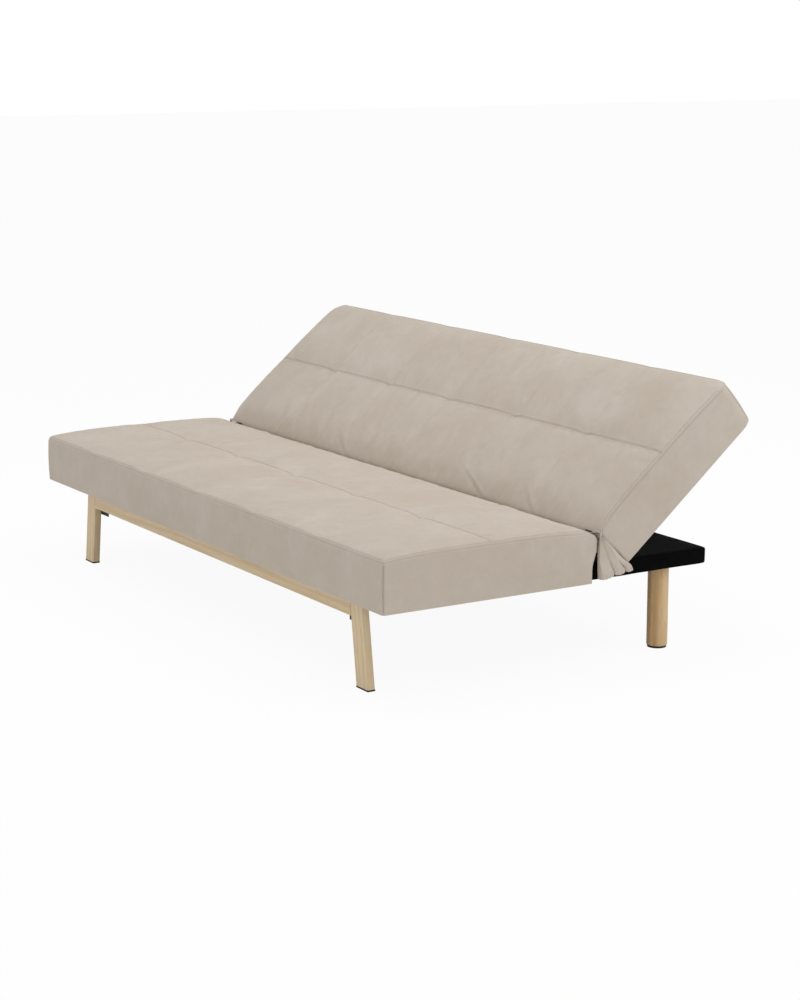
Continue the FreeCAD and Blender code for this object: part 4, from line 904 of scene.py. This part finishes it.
def strips_of(node, place, separate):
    """The boxes of a flat node's strips in a slab's own frame: one box, or one for each strap."""
    spots = points_of(frame["nodes"][node].data) @ np.array(place.inverted().to_3x3()).T
    spots = spots + np.array(place.inverted().translation)
    order = np.sort(spots[:, 0])
    breaks = np.nonzero(np.diff(order) > STRAP_APART)[0] if separate else []
    starts = [order[0]] + [order[index + 1] for index in breaks]
    stops = [order[index] for index in breaks] + [order[-1]]
    for start, stop in zip(starts, stops):
        inside = (spots[:, 0] >= start - 1e-6) & (spots[:, 0] <= stop + 1e-6)
        yield spots[inside].min(axis=0), spots[inside].max(axis=0)


def taut_cloth(node, name, place, body, sag, material, held_by, straps=False):
    """A thin cloth, or a row of straps, between its rails and a little slack in the middle."""
    boxes, pieces = list(strips_of(node, place, straps)), []
    for number, (low, high) in enumerate(boxes):
        width, length = high[0] - low[0], high[1] - low[1]
        bpy.ops.mesh.primitive_grid_add(x_subdivisions=max(6, int(width / 0.03)),
                                        y_subdivisions=int(length / 0.02), size=1,
                                        location=((low + high) / 2).tolist())
        sheet = bpy.context.object
        sheet.name = f"{name}_{number + 1}" if straps else name
        sheet.scale = (width, length, 1)
        settle(sheet)
        points = points_of(sheet.data)
        points[:, 2] = high[2] if straps else low[2] + 0.9 * MM
        share = 2 * (points[:, 1] - low[1]) / length - 1
        across = 2 * (points[:, 0] - low[0]) / width - 1
        droop = np.clip(1 - share ** 4, 0, 1)
        if not straps:
            droop = droop * np.clip(1 - across ** 8, 0, 1)
            droop = droop * (1 + 0.4 * lumps(points, 0.16, 31) + 0.12 * lumps(points, 0.05, 32))
        points[:, 2] -= sag * droop
        set_points(sheet.data, points)
        apply_modifier(sheet, "SOLIDIFY", thickness=0.8 * MM, offset=-1 if straps else 0)
        sheet.data.materials.clear()
        sheet.data.materials.append(material)
        settle(sheet, place)
        only(sheet)
        bpy.ops.object.shade_smooth_by_angle(angle=math.radians(40))
        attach(sheet, body)
        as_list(held_by)
        pieces.append(sheet)
    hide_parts(node)
    return boxes[0]


def staples(name, place, body, low, high):
    """Wire staples along the edges of a dust cloth, seen from below."""
    bpy.ops.mesh.primitive_cube_add(size=1)
    single = bpy.context.object
    single.scale = (11 * MM, 1.1 * MM, 0.6 * MM)
    settle(single)
    apply_modifier(single, "BEVEL", width=0.22 * MM, segments=1)
    shape = points_of(single.data)
    faces = [tuple(face.vertices) for face in single.data.polygons]
    bpy.data.objects.remove(single, do_unlink=True)
    level = low[2] - 0.1 * MM
    left, right = low[0] + STAPLE_INSET, high[0] - STAPLE_INSET
    near, far = low[1] + STAPLE_INSET, high[1] - STAPLE_INSET
    rows = [((low[0] + 0.012, near), (high[0] - 0.012, near)),
            ((low[0] + 0.012, far), (high[0] - 0.012, far)),
            ((left, low[1] + 0.03), (left, high[1] - 0.03)),
            ((right, low[1] + 0.03), (right, high[1] - 0.03))]
    points, all_faces = [], []
    for first, last in rows:
        first, last = np.array(first), np.array(last)
        count = int(np.linalg.norm(last - first) / STAPLE_PITCH)
        for number in range(count):
            spot = first + (last - first) * (number + 0.5) / count
            turn = math.atan2(*(last - first)[::-1]) + 0.16 * math.sin(3.7 * number)
            spin = np.array([[math.cos(turn), math.sin(turn), 0],
                             [-math.sin(turn), math.cos(turn), 0], [0, 0, 1]])
            base = len(points) * len(shape)
            points.append(shape @ spin + (spot[0], spot[1], level))
            all_faces.extend([tuple(base + index for index in face) for face in faces])
    wires = mesh_piece(name, np.vstack(points), all_faces, smooth=False)
    wires.data.materials.append(finishes["zinc_steel"])
    settle(wires, place)
    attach(wires, body)


base_black = woven("black_base_cloth", [(0.25, "#080707"), (0.55, "#0D0C0C"), (0.8, "#131212")],
                   0.9 * MM, rough=0.9, gloss=0.03)
base_cloth()


# Finishes of the pieces that stay as the model has them

TUBE_WIDTH = 50 * MM
SIDE_SLOPE = (0, math.cos(REST_ANGLE), math.sin(REST_ANGLE))
PINE = [(0.32, "#C9A26C"), (0.48, "#D6B27E"), (0.62, "#DFC092"), (0.74, "#E7CDA3")]
BEECH = [(0.34, "#C8A270"), (0.48, "#D0AC7C"), (0.60, "#D6B588"), (0.74, "#DCBF95")]
FOIL = [(0.34, "#DCC29A"), (0.48, "#E0C8A2"), (0.60, "#E3CDA9"), (0.74, "#E7D3B1")]
pine_along = {
    "x": grained("pine_lengthwise", (1, 0, 0), PINE, "#A9793F", 0.62),
    "y": grained("pine_front_to_back", (0, 1, 0), PINE, "#A9793F", 0.62),
    "slope": grained("pine_up_the_back", SIDE_SLOPE, PINE, "#A9793F", 0.62),
}
finishes = {
    "beech_look_steel": grained("beech_foil_on_steel", (1, 0, 0), FOIL, "#D2B286", 0.42),
    "turned_beech": grained("turned_beech", (0, 0, 1), BEECH, "#B58650", 0.40, coat=0.15),
    "black_steel": surfaced("powder_coated_steel", [(0.35, "#161616"), (0.65, "#202020")],
                            (0.38, 0.52), 900.0, 0.35),
    "zinc_steel": surfaced("zinc_plated_steel", [(0.35, "#A8A9A6"), (0.65, "#C6C7C4")],
                           (0.26, 0.42), 700.0, 0.12, metal=1.0),
    "spring_steel": surfaced("oiled_spring_steel", [(0.35, "#4A4A4B"), (0.65, "#626264")],
                             (0.28, 0.45), 700.0, 0.15, metal=1.0),
    "black_plastic": surfaced("moulded_black_plastic", [(0.35, "#121212"), (0.65, "#1B1B1B")],
                              (0.45, 0.6), 1100.0, 0.3),
    "black_rubber": surfaced("black_rubber", [(0.35, "#171717"), (0.65, "#222222")],
                             (0.7, 0.85), 800.0, 0.4, specular=0.3),
    "elastic_webbing": woven("elastic_webbing", [(0.25, "#5E574D"), (0.55, "#736B60"),
                                                 (0.8, "#857C70")], 1.6 * MM),
    "upholstery_foam": surfaced("polyurethane_foam", [(0.35, "#E6DAB4"), (0.65, "#EFE5C4")],
                                (0.9, 0.98), 600.0, 0.8, specular=0.1),
    "black_cloth": woven("black_dust_cloth", [(0.25, "#171615"), (0.55, "#211F1E"),
                                              (0.8, "#2C2A28")], 1.2 * MM),
    "beige_microfibre": cloth,
}
for name, place, body, rails in (
        ("seat", SEAT_PLACE, "base", ["seat_rear_rail", "seat_front_rail"]),
        ("back", BACK_PLACE, "backrest", ["back_lower_rail", "back_top_rail"])):
    sag = 1.8 * MM if name == "seat" else 0.2 * MM
    low, high = taut_cloth(f"{name}_dust_cloth", f"{name}_dust_sheet", place, body, sag,
                           finishes["black_cloth"], rails)
    staples(f"{name}_staples", place, body, low, high)
taut_cloth("back_webbing", "back_strap", BACK_PLACE, "backrest", 3.0 * MM,
           finishes["elastic_webbing"], ["back_lower_rail", "back_top_rail"],
           straps=True)

leg_low, leg_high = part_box("right_front_leg")
lean = (leg_high[0] - leg_low[0] - TUBE_WIDTH) / (leg_high[2] - leg_low[2])
foil_on_leg = {
    sign: grained(f"beech_foil_on_{side}_leg", (sign * lean, 0, -1), FOIL, "#D2B286", 0.42)
    for side, sign in (("left", -1), ("right", 1))
}
for name, node in frame["nodes"].items():
    kind = node.data.materials[0].name.split(".")[0]
    finish = finishes.get(kind)
    if kind == "pine":
        size = Vector(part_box(name)[1]) - Vector(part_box(name)[0])
        finish = pine_along["x" if size.x > 0.3 else "y"]
        if size.x < 0.3 and name.startswith("back"):
            finish = pine_along["slope"]
    if name.endswith("front_leg"):
        finish = foil_on_leg[-1 if name.startswith("left") else 1]
    for slot in node.material_slots:
        slot.material = finish


# Camera, floor and light

# The camera that the photograph was solved for: metres, degrees and a 36 mm wide sensor
CAMERA_SPOT = (5.01086, -3.01282, 1.46326)
CAMERA_DOWN, CAMERA_TURN = 11.69, 58.24
view = bpy.data.cameras.new("studio_camera")
view.lens = 83.03
view.sensor_width = 36
view.clip_end = 50
camera = bpy.data.objects.new("studio_camera", view)
bpy.context.scene.collection.objects.link(camera)
camera.location = CAMERA_SPOT
camera.rotation_euler = (math.radians(90 - CAMERA_DOWN), 0, math.radians(CAMERA_TURN))
bpy.context.scene.camera = camera


def studio():
    """A white floor and backdrop, a bright sky and three soft lamps."""
    scene = bpy.context.scene
    scene.view_settings.view_transform = "Standard"
    world = bpy.data.worlds.new("studio_sky")
    scene.world = world
    world.use_nodes = True
    tree = world.node_tree
    sky = tree.nodes["Background"]
    sky.inputs["Color"].default_value = (1, 1, 1, 1)
    sky.inputs["Strength"].default_value = 0.56
    white = tree.nodes.new("ShaderNodeBackground")
    white.inputs["Color"].default_value = (1, 1, 1, 1)
    white.inputs["Strength"].default_value = 1.0
    rays = tree.nodes.new("ShaderNodeLightPath")
    seen = tree.nodes.new("ShaderNodeMath")
    seen.operation = "MAXIMUM"
    tree.links.new(rays.outputs["Is Camera Ray"], seen.inputs[0])
    tree.links.new(rays.outputs["Is Glossy Ray"], seen.inputs[1])
    pick = tree.nodes.new("ShaderNodeMixShader")
    tree.links.new(seen.outputs[0], pick.inputs["Fac"])
    tree.links.new(sky.outputs[0], pick.inputs[1])
    tree.links.new(white.outputs[0], pick.inputs[2])
    tree.links.new(pick.outputs[0], tree.nodes["World Output"].inputs["Surface"])

    bpy.ops.mesh.primitive_plane_add(size=60, location=(0, 0, 0))
    floor = bpy.context.object
    floor.name = "studio_floor"
    paper, shader, place = new_material("white_paper_floor")
    shader.inputs["Roughness"].default_value = 0.9
    shader.inputs["Base Color"].default_value = srgb("#F4F3F1")
    glow = add(paper, "ShaderNodeEmission", {"Color": (1, 1, 1, 1), "Strength": 1.0})
    rays = add(paper, "ShaderNodeLightPath")
    share = add(paper, "ShaderNodeMath", {0: rays.outputs["Is Camera Ray"], 1: 0.94},
                operation="MULTIPLY")
    mix = add(paper, "ShaderNodeMixShader",
              {"Fac": share.outputs[0], 1: shader.outputs[0], 2: glow.outputs[0]})
    paper.node_tree.links.new(mix.outputs[0], paper.node_tree.nodes["Material Output"].inputs[0])
    floor.data.materials.append(paper)
    floor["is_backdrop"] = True

    lamps = (
        ("key_lamp", (2.6, 2.4, 3.4), 3.0, 60),
        ("fill_lamp", (3.4, -3.6, 2.6), 3.0, 22),
        ("top_lamp", (-0.6, -0.6, 3.8), 3.4, 40),
    )
    for name, spot, size, power in lamps:
        data = bpy.data.lights.new(name, "AREA")
        data.shape = "DISK"
        data.size = size
        data.energy = power
        lamp = bpy.data.objects.new(name, data)
        lamp.location = spot
        aim = Vector((0, 0, 0.3)) - Vector(spot)
        lamp.rotation_euler = aim.to_track_quat("-Z", "Y").to_euler()
        scene.collection.objects.link(lamp)


studio()

low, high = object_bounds()
{"cad": [list(cad_low), list(cad_high)], "visual": [list(low), list(high)]}
